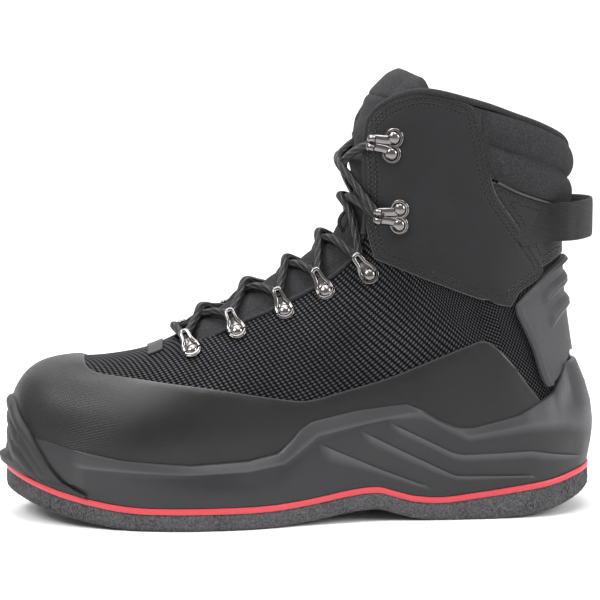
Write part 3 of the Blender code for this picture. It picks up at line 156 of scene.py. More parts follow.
LEDGES = (
    dict(path=((0.000, 0.132), (0.027, 0.136), (0.126, 0.161), (0.240, 0.155), (0.258, 0.161),
               (0.366, 0.236), (0.411, 0.225), (0.482, 0.195), (0.537, 0.132), (0.595, 0.120),
               (0.692, 0.118), (0.805, 0.125), (1.000, 0.141)), ends=(0.030, 0.366)),
    dict(path=((0.000, 0.118), (0.105, 0.091), (0.132, 0.102), (0.247, 0.105), (0.258, 0.109),
               (0.344, 0.168), (0.413, 0.218), (0.482, 0.182), (0.537, 0.114), (0.595, 0.102),
               (0.692, 0.102), (0.805, 0.109), (1.000, 0.127)), ends=(0.105, 0.413)),
    dict(path=((0.000, 0.100), (0.234, 0.070), (0.292, 0.077), (0.376, 0.123), (0.482, 0.191),
               (0.537, 0.091), (0.595, 0.084), (0.692, 0.084), (0.805, 0.091), (1.000, 0.114)),
         ends=(0.292, 0.482)),
)
# Edges of the upper and its panels in the side view: (share of length, share of height)
FACING = ((0.721, 0.423), (0.698, 0.416), (0.647, 0.434), (0.598, 0.464), (0.547, 0.493),
          (0.498, 0.527), (0.453, 0.564), (0.418, 0.609), (0.397, 0.664), (0.392, 0.727),
          (0.395, 0.795), (0.397, 0.864), (0.392, 0.923), (0.387, 0.941))
COLLAR = ((0.387, 0.941), (0.373, 0.966), (0.347, 0.989), (0.315, 1.000), (0.282, 0.995),
          (0.240, 0.980), (0.205, 0.966), (0.163, 0.945), (0.121, 0.925), (0.079, 0.900),
          (0.060, 0.882), (0.050, 0.864))
MESH_LINE = ((0.866, 0.370), (0.863, 0.361), (0.853, 0.351), (0.837, 0.345), (0.805, 0.341),
             (0.740, 0.332), (0.676, 0.323), (0.611, 0.309), (0.531, 0.291), (0.495, 0.289),
             (0.447, 0.305), (0.366, 0.336), (0.298, 0.373), (0.234, 0.409), (0.205, 0.423),
             (0.189, 0.414), (0.173, 0.391), (0.150, 0.355), (0.124, 0.305), (0.105, 0.273),
             (0.085, 0.218))
ANKLE_FRONT = ((0.382, 0.609), (0.392, 0.682), (0.395, 0.795), (0.398, 0.868), (0.394, 0.927))
ANKLE_TOP = ((0.394, 0.927), (0.373, 0.962), (0.347, 0.984), (0.315, 0.995), (0.282, 0.990),
             (0.240, 0.972), (0.223, 0.962))
ANKLE_BOTTOM = ((0.382, 0.609), (0.347, 0.591), (0.282, 0.555), (0.221, 0.523), (0.179, 0.505),
                (0.160, 0.500))
ANKLE_REAR = ((0.160, 0.500), (0.145, 0.534), (0.102, 0.584), (0.147, 0.682), (0.182, 0.750),
              (0.195, 0.791), (0.215, 0.914), (0.223, 0.962))
PAD_FRONT = ((0.205, 0.808), (0.224, 0.914), (0.231, 0.966))
PAD_BOTTOM = ((0.205, 0.808), (0.147, 0.770), (0.095, 0.745), (0.069, 0.732))
PAD_TOP = ((0.231, 0.966), (0.163, 0.939), (0.121, 0.919), (0.079, 0.894), (0.060, 0.876))
PAD_BACK = (0.725, 0.858)
HEM = ((0.186, 0.792), (0.147, 0.765), (0.095, 0.740), (0.069, 0.728), (0.052, 0.722))
BACK_FRONT = ((0.111, 0.584), (0.153, 0.684), (0.188, 0.752), (0.201, 0.798))
BACK_TOP = ((0.201, 0.798), (0.147, 0.764), (0.095, 0.739), (0.069, 0.726))
BACK_BOTTOM = ((0.111, 0.584), (0.078, 0.604), (0.062, 0.614))
BACK_BACK = (0.620, 0.719)
COUNTER_TOP = ((0.153, 0.503), (0.136, 0.528), (0.096, 0.576), (0.072, 0.597), (0.060, 0.605))
COUNTER_FRONT = ((0.097, 0.308), (0.108, 0.338), (0.124, 0.405), (0.149, 0.478), (0.153, 0.503))
COUNTER_BOTTOM = ((0.097, 0.308), (0.079, 0.322), (0.060, 0.357), (0.047, 0.384))
COUNTER_BACK = (0.386, 0.609)
# The tongue's top: (girth in degrees, row of the last)
TONGUE_TOP = ((12.0, 23.0), (24.0, 23.7), (38.0, 24.1), (55.0, 24.25), (72.0, 24.32), (90.0, 24.35))
COUNTER_RIBS = ((0.52, 0.085), (0.77, 0.085))
# The foot and the tip of each ring and hook in the side view
RINGS = (((0.686, 0.400), (0.700, 0.440)), ((0.611, 0.443), (0.625, 0.483)),
         ((0.531, 0.488), (0.543, 0.530)), ((0.463, 0.534), (0.476, 0.576)),
         ((0.391, 0.573), (0.409, 0.612)))
HOOKS = (((0.343, 0.712), (0.376, 0.718)), ((0.355, 0.876), (0.391, 0.888)))
HOOK_SPREAD = 0.0082
# The tongue's rows and the girths of its edge, its free part, and how far it puffs, sinks and leans back
TONGUE_ROWS = (6.15, 23.7)
TONGUE_EDGE = (48.0, 36.0, 30.0, 28.0)
TONGUE_FREE_ROW = 20.5
TONGUE_RISE = 0.0030
TONGUE_PUFF = 0.0020
TONGUE_SINK = 0.0030
TONGUE_STAND = 0.0034
TONGUE_LEAN = 0.0060
TONGUE_LIP = 0.0024
TONGUE_WAVE = 0.0006
TONGUE_SEAM_ROW = 22.35
TONGUE_SEAM = 0.0008
BUMPER_ENDS = (0.875, 0.862)
BUMPER_TOP = ((0.862, 0.078), (0.882, 0.088), (0.899, 0.104), (0.913, 0.130), (0.926, 0.162),
              (0.948, 0.215), (0.966, 0.250), (0.985, 0.275), (1.000, 0.283))
BUMPER_WALL = 0.0018
BUMPER_ROLL = 0.0015
BUMPER_ROLL_PITCH = 0.0078
BUMPER_OVERLAP = 0.0013
BUMPER_LIP = 0.0022
BUMPER_LEAST = 0.0012
LOOP_SEAT = ((0.166, 0.686), (0.143, 0.688), (0.100, 0.694))
LOOP_STANDS = (-0.0008, 0.0000, 0.0026)
LOOP_SLANT = 0.8
LOOP_FREE = ((0.052, 0.699, 0.300), (0.016, 0.703, 0.170), (0.005, 0.705, 0.000))

# Soft folds of the upper: the side-view points they run along, how deep and how wide, in millimetres
FOLDS = (
    dict(path=((0.700, 0.405), (0.675, 0.370), (0.655, 0.330)), depth=-0.9, width=5.0),
    dict(path=((0.640, 0.440), (0.600, 0.390), (0.575, 0.330)), depth=-0.8, width=6.0),
    dict(path=((0.420, 0.560), (0.350, 0.480), (0.290, 0.430)), depth=-1.0, width=7.0),
    dict(path=((0.470, 0.520), (0.440, 0.430), (0.430, 0.340)), depth=0.8, width=8.0),
    dict(path=((0.300, 0.545), (0.240, 0.480), (0.200, 0.440)), depth=-0.7, width=6.0),
    dict(path=((0.380, 0.690), (0.300, 0.650), (0.230, 0.640)), depth=-0.8, width=7.0),
    dict(path=((0.385, 0.790), (0.320, 0.780), (0.250, 0.760)), depth=-0.6, width=8.0),
    dict(path=((0.330, 0.930), (0.310, 0.800), (0.300, 0.620)), depth=0.6, width=12.0),
)


def along(u):
    return HEEL_BACK - np.asarray(u, float) * SOLE_LENGTH


def height(v):
    return np.asarray(v, float) * COLLAR_HEIGHT


def eased(x, table):
    """A table's height at places along the boot, with its corners eased."""
    table = np.asarray(table)
    u = (HEEL_BACK - x) / SOLE_LENGTH
    spread = np.interp(u, (0.20, 0.30, 0.55, 0.70), (0.020, 0.008, 0.010, 0.030))
    shifts = np.linspace(-1, 1, 9)
    return np.mean([np.interp(u + shift * spread, table[:, 0], height(table[:, 1])) for shift in shifts], 0)


def bottom_height(x):
    return eased(x, SOLE_BOTTOM)


def felt_top(x):
    return bottom_height(x) + FELT_THICKNESS + eased(x, FELT_GROWTH)


def line_top(x):
    return felt_top(x) + GAP + LINE_THICKNESS


def cup_floor(x):
    """The floor that the last stands on, as in the model."""
    table = np.asarray(BOTTOM)
    u = (HEEL_BACK - x) / SOLE_LENGTH
    back, front = 1 - u / HEEL_TURN, (u - TOE_TURN) / (1 - TOE_TURN)
    ends = np.maximum(np.clip(back, 0, 1), np.clip(front, 0, 1))
    felt = np.interp(u, table[:, 0], height(table[:, 1])) + FELT_THICKNESS + FELT_EDGE * ends
    return felt + LINE_THICKNESS + 2 * GAP + CUP_FLOOR


def through(values, where, before=None):
    """A smooth curve through evenly numbered values, read at any place between them."""
    values = np.asarray(values, float)
    first = 2 * values[0] - values[1] if before is None else before
    held = np.concatenate([[first], values, [2 * values[-1] - values[-2]]])
    where = np.asarray(where, float)
    row = np.clip(np.floor(where).astype(int), 0, len(values) - 2)
    t = where - row
    a, b, c, d = held[row], held[row + 1], held[row + 2], held[row + 3]
    return 0.5 * (2 * b + (c - a) * t + (2 * a - 5 * b + 4 * c - d) * t**2 + (3 * b - a - 3 * c + d) * t**3)


def section(s):
    """The last's section at row s."""
    made = {}
    for column, name in enumerate(SECTION_COLUMNS):
        values = [row[column] for row in SECTIONS]
        before = {"top_u": values[1], "low_u": values[1], "outer": -values[1], "inner": -values[1]}.get(name)
        made[name] = through(values, s, before)
    made["edge"] = np.clip(made["edge"], 0, 1)
    low_x = along(made["low_u"])
    made["low"] = np.stack([low_x, cup_floor(low_x) + height(made["lift"])], -1)
    made["rise_to_top"] = np.stack([along(made["top_u"]), height(made["top_v"])], -1) - made["low"]
    return made


def last_point(s, girth, side):
    """A point of the last at a row, a girth from -90 below to 90 above, and a side."""
    s, girth = np.broadcast_arrays(np.asarray(s, float), np.asarray(girth, float))
    row = section(s)
    turn = np.radians(np.abs(girth))
    sine, cosine = np.sin(turn), np.clip(np.cos(turn), 0, 1)
    over = row["belly"] + (1 - row["belly"]) * sine ** (2 / row["rise"])
    under = row["belly"] * (1 - sine)
    share = np.where(girth >= 0, over, under)
    narrow = cosine ** (2 / row["round"])
    seat = np.sqrt(row["edge"] ** 2 + (1 - row["edge"] ** 2) * cosine**2)
    wide = np.where(girth >= 0, narrow, seat) * np.where(side < 0, row["outer"], row["inner"])
    flat = row["low"] + row["rise_to_top"] * share[..., None]
    return np.stack([flat[..., 0], (row["middle"] + side * wide) * BALL_WIDTH, flat[..., 1]], -1)


def last_normal(s, girth, side):
    s, girth = np.broadcast_arrays(np.asarray(s, float), np.asarray(girth, float))
    step, turn = 0.04, 1.2
    forward = last_point(np.minimum(s + step, LAST_ROW), girth, side)
    back = last_point(np.maximum(s - step, 0), girth, side)
    up = last_point(s, np.minimum(girth + turn, 90), side)
    down = last_point(s, np.maximum(girth - turn, -90), side)
    normal = np.cross(forward - back, up - down) * -np.asarray(side)[..., None]
    joined = (girth >= 89.99) | ((girth <= -89.99) & (s >= SEAT_ROW - 1e-6)) | (s <= 1e-6)
    normal[..., 1] = np.where(joined, 0, normal[..., 1])
    return normal / np.maximum(np.linalg.norm(normal, axis=-1, keepdims=True), 1e-12)


def locate(points):
    """The row and the girth of side-view points, found by halving."""
    points = np.asarray(points, float)
    lowest, highest = np.zeros(len(points)), np.full(len(points), LAST_ROW)
    for _ in range(40):
        middle = (lowest + highest) / 2
        row = section(middle)
        rise = row["rise_to_top"]
        reach = points - row["low"]
        ahead = rise[:, 0] * reach[:, 1] - rise[:, 1] * reach[:, 0] < 0
        lowest, highest = np.where(ahead, middle, lowest), np.where(ahead, highest, middle)
    share = np.clip((reach * rise).sum(-1) / (rise * rise).sum(-1), 0, 1)
    belly = row["belly"]
    over = np.clip((share - belly) / (1 - belly), 0, 1) ** (row["rise"] / 2)
    under = np.clip(1 - share / belly, 0, 1)
    return middle, np.degrees(np.where(share >= belly, np.arcsin(over), -np.arcsin(under)))


def through_points(points, where):
    return np.stack([through(points[:, k], where) for k in range(points.shape[1])], -1)


def reach_along(path):
    """How far along a path each of its points lies."""
    return np.concatenate([[0], np.cumsum(np.linalg.norm(np.diff(path, axis=0), axis=1))])


def heading(path):
    run = np.gradient(path, axis=0)
    return run / np.linalg.norm(run, axis=1, keepdims=True)


def smooth_curve(points, count):
    """A smooth curve through given points, evenly spaced along its length."""
    points = np.asarray(points, float)
    dense = through_points(points, np.linspace(0, len(points) - 1, 12 * len(points)))
    run = reach_along(dense)
    where = np.linspace(0, run[-1], count)
    return np.stack([np.interp(where, run, dense[:, k]) for k in range(points.shape[1])], -1)


def on_side(u, v):
    s, girth = locate([(along(u), height(v))])
    return float(s[0]), float(girth[0])


def in_view(shares):
    """Side-view places in metres from shares of length and height."""
    shares = np.asarray(shares, float)
    return np.stack([along(shares[:, 0]), height(shares[:, 1])], -1)


def on_view(shares, count):
    return in_view(smooth_curve(shares, count))


def back_row(v):
    rows = np.linspace(SEAT_ROW, LAST_ROW, 400)
    return np.interp(height(v), section(rows)["low"][:, 1], rows)


def shared(s, girth):
    share = np.linspace(0, 1, len(s))
    return lambda t: np.stack([np.interp(t, share, s), np.interp(t, share, girth)], -1)


def side_curve(shares, back=None, count=200):
    """A side-view curve on the last, carried on to a height at the heel's back where one is given."""
    s, girth = locate(on_view(shares, count))
    if back is not None:
        behind = np.linspace(0, 1, count // 2)[1:]
        s = np.concatenate([s, s[-1] + (back_row(back) - s[-1]) * behind])
        girth = np.concatenate([girth, girth[-1] + (-90 - girth[-1]) * behind])
    return shared(s, girth)


def back_curve(v_low, v_high):
    return shared(back_row(np.linspace(v_low, v_high, 60)), np.full(60, -90.0))


def girth_over(curve_points):
    s, girth = locate(on_view(curve_points, 400))
    order = np.argsort(s)
    return lambda rows: np.interp(rows, s[order], girth[order])


def distance_to(path, places):
    """The distance from side-view places to an open path, and how far along it the nearest point is."""
    path = np.asarray(path, float)
    places = np.asarray(places, float)
    best = np.full(len(places), 1e9)
    where = np.zeros(len(places))
    run = reach_along(path)
    for k, (a, b) in enumerate(zip(path[:-1], path[1:])):
        edge = b - a
        length = max(float(edge @ edge), 1e-16)
        t = np.clip(((places - a) @ edge) / length, 0, 1)
        gap = np.linalg.norm(places - a - t[:, None] * edge, axis=1)
        nearer = gap < best
        best = np.where(nearer, gap, best)
        where = np.where(nearer, run[k] + t * np.sqrt(length), where)
    return best, where


def inside_of(outline, places):
    """True where side-view places lie inside a closed outline."""
    outline = np.asarray(outline, float)
    x, z = places[:, 0], places[:, 1]
    inside = np.zeros(len(places), bool)
    for (x0, z0), (x1, z1) in zip(outline, np.roll(outline, -1, 0)):
        crosses = (z0 > z) != (z1 > z)
        reach = x0 + (z - z0) * (x1 - x0) / (z1 - z0 if abs(z1 - z0) > 1e-15 else 1e-15)
        inside ^= crosses & (x < reach)
    return inside


def fold_lift(places):
    """The soft folds, as an offset in metres at side-view places."""
    lift = np.zeros(len(places))
    for fold in FOLDS:
        path = on_view(fold["path"], 24)
        gap, run = distance_to(path, places)
        length = np.linalg.norm(np.diff(path, axis=0), axis=1).sum()
        fade = np.clip(np.minimum(run, length - run) / (0.25 * length), 0, 1)
        lift += fold["depth"] * MM * np.exp(-((gap / MM / fold["width"]) ** 2)) * fade**0.5
    return lift


def grid_faces(rows, wide, over=False):
    """The quads of a grid of points, turned over where asked."""
    corners = [i * wide + j for i in range(rows - 1) for j in range(wide - 1)]
    faces = [(k, k + 1, k + wide + 1, k + wide) for k in corners]
    return [face[::-1] for face in faces] if over else faces


def tube_faces(count, sides):
    """A tube's two ends, then the quads round it from ring to ring."""
    faces = [tuple(range(sides)), tuple(count * sides - 1 - k for k in range(sides))]
    for base in range(0, (count - 1) * sides, sides):
        for k in range(sides):
            n = (k + 1) % sides
            faces.append((base + k, base + sides + k, base + sides + n, base + n))
    return faces


def mesh_object(name, points, faces, finish, smooth=35):
    """A new piece that rides on the boot, from points and faces turned outwards."""
    mesh = bpy.data.meshes.new(name)
    mesh.from_pydata([tuple(map(float, p)) for p in points], [], [tuple(map(int, f)) for f in faces])
    mesh.materials.append(finish)
    obj = bpy.data.objects.new(name, mesh)
    bpy.context.scene.collection.objects.link(obj)
    mesh.shade_smooth()
    mesh.set_sharp_from_angle(angle=radians(smooth))
    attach(obj, "root")
    return obj


def attribute(obj, name, values):
    """A number on each point, for the materials to read."""
    made = obj.data.attributes.new(name, "FLOAT", "POINT")
    made.data.foreach_set("value", np.asarray(values, np.float32))


def cloth_map(obj, values):
    """A UV map in millimetres over the cloth, from one pair per point."""
    layer = obj.data.uv_layers.new(name="cloth")
    loops = np.empty(len(obj.data.loops), np.int32)
    obj.data.loops.foreach_get("vertex_index", loops)
    layer.data.foreach_set("uv", np.asarray(values, np.float32)[loops].ravel())


def arc(points, axis):
    """Distances along a grid in millimetres."""
    steps = np.linalg.norm(np.diff(points, axis=axis), axis=-1)
    pad = [(0, 0), (0, 0)]
    pad[axis] = (1, 0)
    return np.pad(np.cumsum(steps, axis=axis), pad) / MM


def skin(name, rows, columns, over, outline, lift, finish, skirt=0.0, sides=(-1, 1)):
    """A sheet over the last, cut exactly along an outline of the side view. over is top where the two
    sides join over the foot, and heel where they join behind it. lift gives its offset in metres from its
    places and their distances to the outline. skirt folds its cut edge inwards by a depth."""
    t = np.linspace(-1, 1, columns) if len(sides) == 2 else sides[0] * np.linspace(0, 1, columns)
    s, t = np.meshgrid(rows, t, indexing="ij")
    side = np.where(t < 0, -1.0, 1.0) if len(sides) == 2 else np.full(t.shape, float(sides[0]))
    girth = 90 - 180 * np.abs(t) if over == "top" else -90 + 180 * np.abs(t)
    where = last_point(s, girth, side)
    cloth = np.stack([arc(where, 0), arc(where, 1)], -1)
    cloth[..., 1] -= cloth[:, columns // 2, 1][:, None]
    places = where[..., [0, 2]].reshape(-1, 2)
    gap, run = distance_to(np.concatenate([outline, outline[:1]]), places)
    signed = np.where(inside_of(outline, places), gap, -gap).reshape(s.shape)
    snapped = np.zeros(s.shape, bool)
    best = np.full(s.shape, 0.5)
    move = np.zeros(s.shape + (2,))
    for ds, dt in ((1, 0), (0, 1)):
        near = (slice(0, s.shape[0] - ds), slice(0, s.shape[1] - dt))
        far = (slice(ds, None), slice(dt, None))
        a, b = signed[near], signed[far]
        crossing = (a > 0) != (b > 0)
        share = np.where(crossing, a / np.where(a == b, 1, a - b), 9.0)
        for place, part, sign in ((near, share, 1.0), (far, 1 - share, -1.0)):
            take = crossing & (part >= 0) & (part < best[place])
            best[place] = np.where(take, part, best[place])
            snapped[place] |= take
            step = np.stack([(s[far] - s[near]) * part * sign, (girth[far] - girth[near]) * part * sign], -1)
            move[place] = np.where(take[..., None], step, move[place])
    s = np.clip(s + move[..., 0], 0, LAST_ROW)
    girth = np.clip(girth + move[..., 1], -90, 90)
    signed = np.where(snapped, 0.0, signed)
    points = last_point(s, girth, side)
    normals = last_normal(s, girth, side)
    places = points[..., [0, 2]].reshape(-1, 2)
    high = lift(places, signed.ravel())
    lifted = points.reshape(-1, 3) + normals.reshape(-1, 3) * high[:, None]
    kept = signed.ravel() >= 0
    faces = [[k for k in quad if kept[k]] for quad in grid_faces(*s.shape)]
    faces = [face for face in faces if len(face) >= 3]
    flip = (over == "heel") != (len(sides) == 1 and sides[0] < 0)
    faces = [face if flip else face[::-1] for face in faces]
    low = points.reshape(-1, 3) + normals.reshape(-1, 3) * (high - skirt)[:, None]
    return finish_sheet(name, lifted, low, faces, finish, skirt, dict(edge=signed.ravel() / MM, run=run / MM),
                        cloth.reshape(-1, 2))


def finish_sheet(name, lifted, low, faces, finish, skirt, fields, cloth):
    """The sheet as an object: doubles joined, unused points dropped, its edge folded in."""
    _, first, index = np.unique(np.round(lifted * 1e6).astype(np.int64), axis=0, return_index=True,
                                return_inverse=True)
    index = index.reshape(-1)
    whole = []
    for face in faces:
        held = list(dict.fromkeys(int(index[k]) for k in face))
        if len(held) > 2:
            whole.append(held)
    used = np.unique(np.concatenate([np.array(face) for face in whole]))
    renumber = np.full(len(first), -1)
    renumber[used] = np.arange(len(used))
    whole = [[int(renumber[k]) for k in face] for face in whole]
    first = first[used]
    points, under = lifted[first], low[first]
    fields = {key: np.asarray(value)[first] for key, value in fields.items()}
    cloth = cloth[first]
    if skirt:
        edges = {}
        for face in whole:
            for a, b in zip(face, face[1:] + face[:1]):
                edges[(a, b)] = True
        rim = [(a, b) for a, b in edges if (b, a) not in edges]
        marks = {k: len(points) + n for n, k in enumerate(dict.fromkeys(k for pair in rim for k in pair))}
        order = list(marks)
        points = np.concatenate([points, under[order]])
        fields = {key: np.concatenate([value, value[order]]) for key, value in fields.items()}
        cloth = np.concatenate([cloth, cloth[order]])
        whole += [[b, a, marks[a], marks[b]] for a, b in rim]
    obj = mesh_object(name, points, whole, finish)
    for key, value in fields.items():
        attribute(obj, key, value)
    cloth_map(obj, cloth)
    return obj


def rounded(signed, width=0.0008, depth=0.0006):
    """How much a sheet's edge falls towards its cut, in metres."""
    t = np.clip(signed / width, 0, 1)
    return -depth * (1 - np.sqrt(np.clip(1 - (1 - t) ** 2, 0, 1)))


def coons(bottom, top, front, back, columns, rows):
    """Rows and girths of a patch between four curves, and its shares along and across."""
    a, b = np.meshgrid(np.linspace(0, 1, columns), np.linspace(0, 1, rows), indexing="ij")
    ruled = (1 - b)[..., None] * bottom(a) + b[..., None] * top(a)
    across = (1 - a)[..., None] * front(b) + a[..., None] * back(b)
    corners = ((1 - a) * (1 - b))[..., None] * front(0.0) + (a * (1 - b))[..., None] * back(0.0)
    corners = corners + ((1 - a) * b)[..., None] * front(1.0) + (a * b)[..., None] * back(1.0)
    grid = ruled + across - corners
    return grid[..., 0], np.clip(grid[..., 1], -90, 90), a, b


def wrap_sheet(name, bottom, top, front, back, columns, rows, lift, finish, skirt):
    """A patch round the heel's back between four curves. lift reads its shares along and across."""
    halves = []
    for side in (-1, 1):
        s, girth, a, b = coons(side_curve(bottom, back[0]), side_curve(top, back[1]), side_curve(front),
                               back_curve(*back), columns, rows)
        if side > 0:
            s, girth, a, b = s[::-1][1:], girth[::-1][1:], a[::-1][1:], b[::-1][1:]
        halves.append((s, girth, a, b, np.full(s.shape, float(side))))
    s, girth, a, b, side = (np.concatenate([half[k] for half in halves]) for k in range(5))
    points = last_point(s, girth, side)
    normals = last_normal(s, girth, side).reshape(-1, 3)
    cloth = np.stack([arc(points, 0), arc(points, 1)], -1).reshape(-1, 2)
    high = lift(a, b).ravel()
    flat = points.reshape(-1, 3)
    lifted = flat + normals * high[:, None]
    low = flat + normals * (high - skirt)[:, None]
    count = s.shape[1]
    faces = [[i * count + j, (i + 1) * count + j, (i + 1) * count + j + 1, i * count + j + 1]
             for i in range(s.shape[0] - 1) for j in range(count - 1)]
    height_mm = np.linalg.norm(np.diff(points, axis=1), axis=-1).sum(1).mean() / MM
    edge = np.minimum(b, 1 - b) * height_mm
    fields = dict(edge=edge.ravel(), run=cloth[:, 0])
    return finish_sheet(name, lifted, low, faces, finish, skirt, fields, cloth)


def outline_at(u, side):
    """The sole's outline in plan at shares of its length, and the directions out of it."""
    shares = np.asarray(OUTER_OUTLINE if side < 0 else INNER_OUTLINE)
    other = np.asarray(INNER_OUTLINE if side < 0 else OUTER_OUTLINE)
    loop = np.concatenate([other[2:0:-1], shares, other[-2:-4:-1]])
    dense = through_points(loop, np.linspace(2, len(shares) + 1, 40 * len(shares)))
    plan = np.stack([along(dense[:, 0]), dense[:, 1] * BALL_WIDTH], -1)
    run = np.gradient(plan, axis=0)
    normal = np.stack([-run[:, 1], run[:, 0]], -1) * -side
    normal /= np.linalg.norm(normal, axis=1, keepdims=True)
    normal[[0, -1], 1] = 0
    normal /= np.linalg.norm(normal, axis=1, keepdims=True)
    reach = np.maximum.accumulate(dense[:, 0])
    reach[-1] = 1.0
    where = np.interp(u, reach, np.arange(len(reach)))
    steps = np.arange(len(reach))
    found = np.stack([np.interp(where, steps, normal[:, k]) for k in (0, 1)], -1)
    placed = np.stack([np.interp(where, steps, plan[:, k]) for k in (0, 1)], -1)
    return placed, found / np.linalg.norm(found, axis=1, keepdims=True)


def sole_stations(count):
    """Shares of the sole's length, close together where its ends turn."""
    t = np.linspace(0, pi, count)
    even = np.linspace(0, 1, count)
    return 0.55 * (1 - np.cos(t)) / 2 + 0.45 * even


def ring_round(u, insets, heights):
    """A closed ring round the sole. insets holds each side's; heights does too, or is a rule for a place."""
    rings = []
    for side in (-1, 1):
        plan, normal = outline_at(u, side)
        place = plan - normal * (0 * u + insets[side])[:, None]
        rings.append(np.column_stack([place, heights(place[:, 0]) if callable(heights) else heights[side]]))
    return np.concatenate([rings[0], rings[1][-2:0:-1]])


def ring_stack(name, rings, finish, cap_low=False, cap_high=False, smooth=35):
    """A band from closed rings, with its ends closed by strips across the foot where asked."""
    count = len(rings[0])
    faces = tube_faces(len(rings), count)[2:]
    for level, wanted in ((0, cap_low), (len(rings) - 1, cap_high)):
        if wanted:
            base = level * count
            for k in range(count // 2):
                far = [base + (count - k - 1) % count, base + (count - k) % count]
                corners = list(dict.fromkeys([base + k, base + k + 1, *far]))
                faces.append(corners if level == 0 else corners[::-1])
    obj = mesh_object(name, np.concatenate(rings), faces, finish, smooth)
    form = bmesh.new()
    form.from_mesh(obj.data)
    bmesh.ops.recalc_face_normals(form, faces=form.faces)
    form.to_mesh(obj.data)
    form.free()
    return obj


def last_tree():
    """The whole last as something to cast rays at."""
    rows = np.concatenate([np.linspace(0, 1, 8), np.linspace(1.2, LAST_ROW - 1, 90)])
    girths = np.linspace(-90, 90, 40)
    s, girth = np.meshgrid(rows, girths, indexing="ij")
    verts, faces = [], []
    for side in (-1.0, 1.0):
        faces += [tuple(k + len(verts) for k in face) for face in grid_faces(len(rows), len(girths))]
        verts += [tuple(point) for point in last_point(s, girth, side).reshape(-1, 3)]
    return BVHTree.FromPolygons(verts, faces)


def curve_height(table):
    held = np.asarray(table)
    return lambda u: np.interp(u, held[:, 0], height(held[:, 1]))


def inset_to_upper(side, u, z, tree):
    """How far in from the sole's outline the last stands, at each station's height."""
    plan, normal = outline_at(u, side)
    inset = []
    for place, out, level in zip(plan, normal, z):
        start = Vector((*(place + out * BALL_WIDTH), level))
        hit = tree.ray_cast(start, Vector((*-out, 0.0)))[0]
        inset.append((hit - start).length - BALL_WIDTH if hit else np.inf)
    inset = np.array(inset)
    found = inset < DEEPEST_INSET
    if not found.any():
        return np.full(len(inset), BALL_WIDTH)
    return np.interp(u, u[found], inset[found])


def bumper_cover(u, side):
    """1 where the toe's wrap covers the cup, 0 behind it."""
    return np.clip((u - BUMPER_ENDS[side < 0]) / END_FADE, 0, 1)


def cup_side(side, u, tree):
    """The cup's side at each station, finely: a list of (inset, height, share of painted highlight) from the
    line up to the rim.
    """
    floor = line_top(outline_at(u, side)[0][:, 0]) + GAP
    rim = curve_height(RIM)(u)
    held = inset_to_upper(side, u, rim, tree) - RIM_WALL
    cover = bumper_cover(u, side)
    planned = [(floor, 0 * u)]
    highlight_and_wear = []
    # Each ledge's edge gets a painted highlight: a lighter share of the midsole's colour where the ledge would
    # catch the light, partly also standing for wear.
    for ledge in reversed(LEDGES):
        path = curve_height(ledge["path"])(u)
        near, far = ledge["ends"]
        step = LEDGE_STEP * np.clip((u - near) / END_FADE, 0, 1) * np.clip((far - u) / END_FADE, 0, 1)
        step = step * np.clip((path - floor - 0.0015) / 0.003, 0, 1)
        planned += [(path, -step / 2), (path + 0.6 * LEDGE_STEP, step / 2)]
        highlight_and_wear.append(step / LEDGE_STEP)
    planned += [(curve_height(CHAMFER)(u), -0.5 * LEDGE_STEP + 0 * u), (rim - LEDGE_STEP, 0 * u),
                (rim - 0.3 * LEDGE_STEP, 0.25 * LEDGE_STEP + 0 * u), (rim, 0.9 * LEDGE_STEP + 0 * u)]
    fine = [planned[0]]
    for (z0, step0), (z1, step1) in zip(planned, planned[1:]):
        for share in (0.34, 0.67, 1.0):
            fine.append((z0 + (z1 - z0) * share, step0 + (step1 - step0) * share))
    made = []
    last = floor
    for k, (z, step) in enumerate(fine):
        z = np.minimum(np.maximum(z, last + LEAST_STEP * (k > 0)), rim - LEAST_STEP * (len(fine) - 1 - k))
        share = np.clip((z - floor) / (rim - floor), 0, 1)
        bulge = HEEL_BULGE * np.clip(1 - u / 0.30, 0, 1) ** 0.6 * np.sin(pi * share)
        lean = CUP_EDGE + (held - CUP_EDGE) * share**CUP_RISE - bulge - CUP_SWELL * np.sin(pi * share)
        clear = inset_to_upper(side, u, z, tree) - RIM_WALL
        # The share of painted highlight: the ledges' edges, the chamfer and the rim are painted lighter, partly
        # also as wear, and not under the toe's wrap.
        band, part = divmod(k - 1, 3)
        light = 0 * u
        if part == 2 and band in (0, 2, 4):
            light = highlight_and_wear[band // 2]
        elif part == 2 and band == 6:
            light = CHAMFER_HIGHLIGHT_AND_WEAR + light
        elif band >= 7:
            light = RIM_HIGHLIGHT_AND_WEAR + light
        inset = np.minimum(lean, clear) + step * (1 - cover) + BUMPER_RECESS * cover
        made.append((inset, z, light * (1 - cover)))
        last = z
    return made


def new_finish(name, colour, roughness, **inputs):
    """A Principled material: its tree and its shader, with constants set on the shader's own sockets."""
    made = bpy.data.materials.new(name)
    made.use_nodes = True
    shader = made.node_tree.nodes["Principled BSDF"]
    shader.inputs["Base Color"].default_value = (*colour, 1)
    shader.inputs["Roughness"].default_value = roughness
    for key, value in inputs.items():
        shader.inputs[key.replace("_", " ")].default_value = value
    return made, made.node_tree, shader


def fill(tree, place, value):
    """Links a socket into a place, or sets the place to a constant."""
    if isinstance(value, bpy.types.NodeSocket):
        tree.links.new(value, place)
    else:
        place.default_value = value


def put(tree, kind, socket=0, **given):
    """A node with its settings by name and its inputs as in0, in1 and so on, and one of its outputs."""
    made = tree.nodes.new(kind)
    for key in [key for key in given if not key.startswith("in")]:
        setattr(made, key, given.pop(key))
    for key, value in given.items():
        fill(tree, made.inputs[int(key[2:])], value)
    return made.outputs[socket]


def work(tree, operation, a, b=0.0, c=0.0):
    return put(tree, "ShaderNodeMath", operation=operation, in0=a, in1=b, in2=c)


def grade(tree, value, low, high, to_low=0.0, to_high=1.0):
    return put(tree, "ShaderNodeMapRange", in0=value, in1=low, in2=high, in3=to_low, in4=to_high)


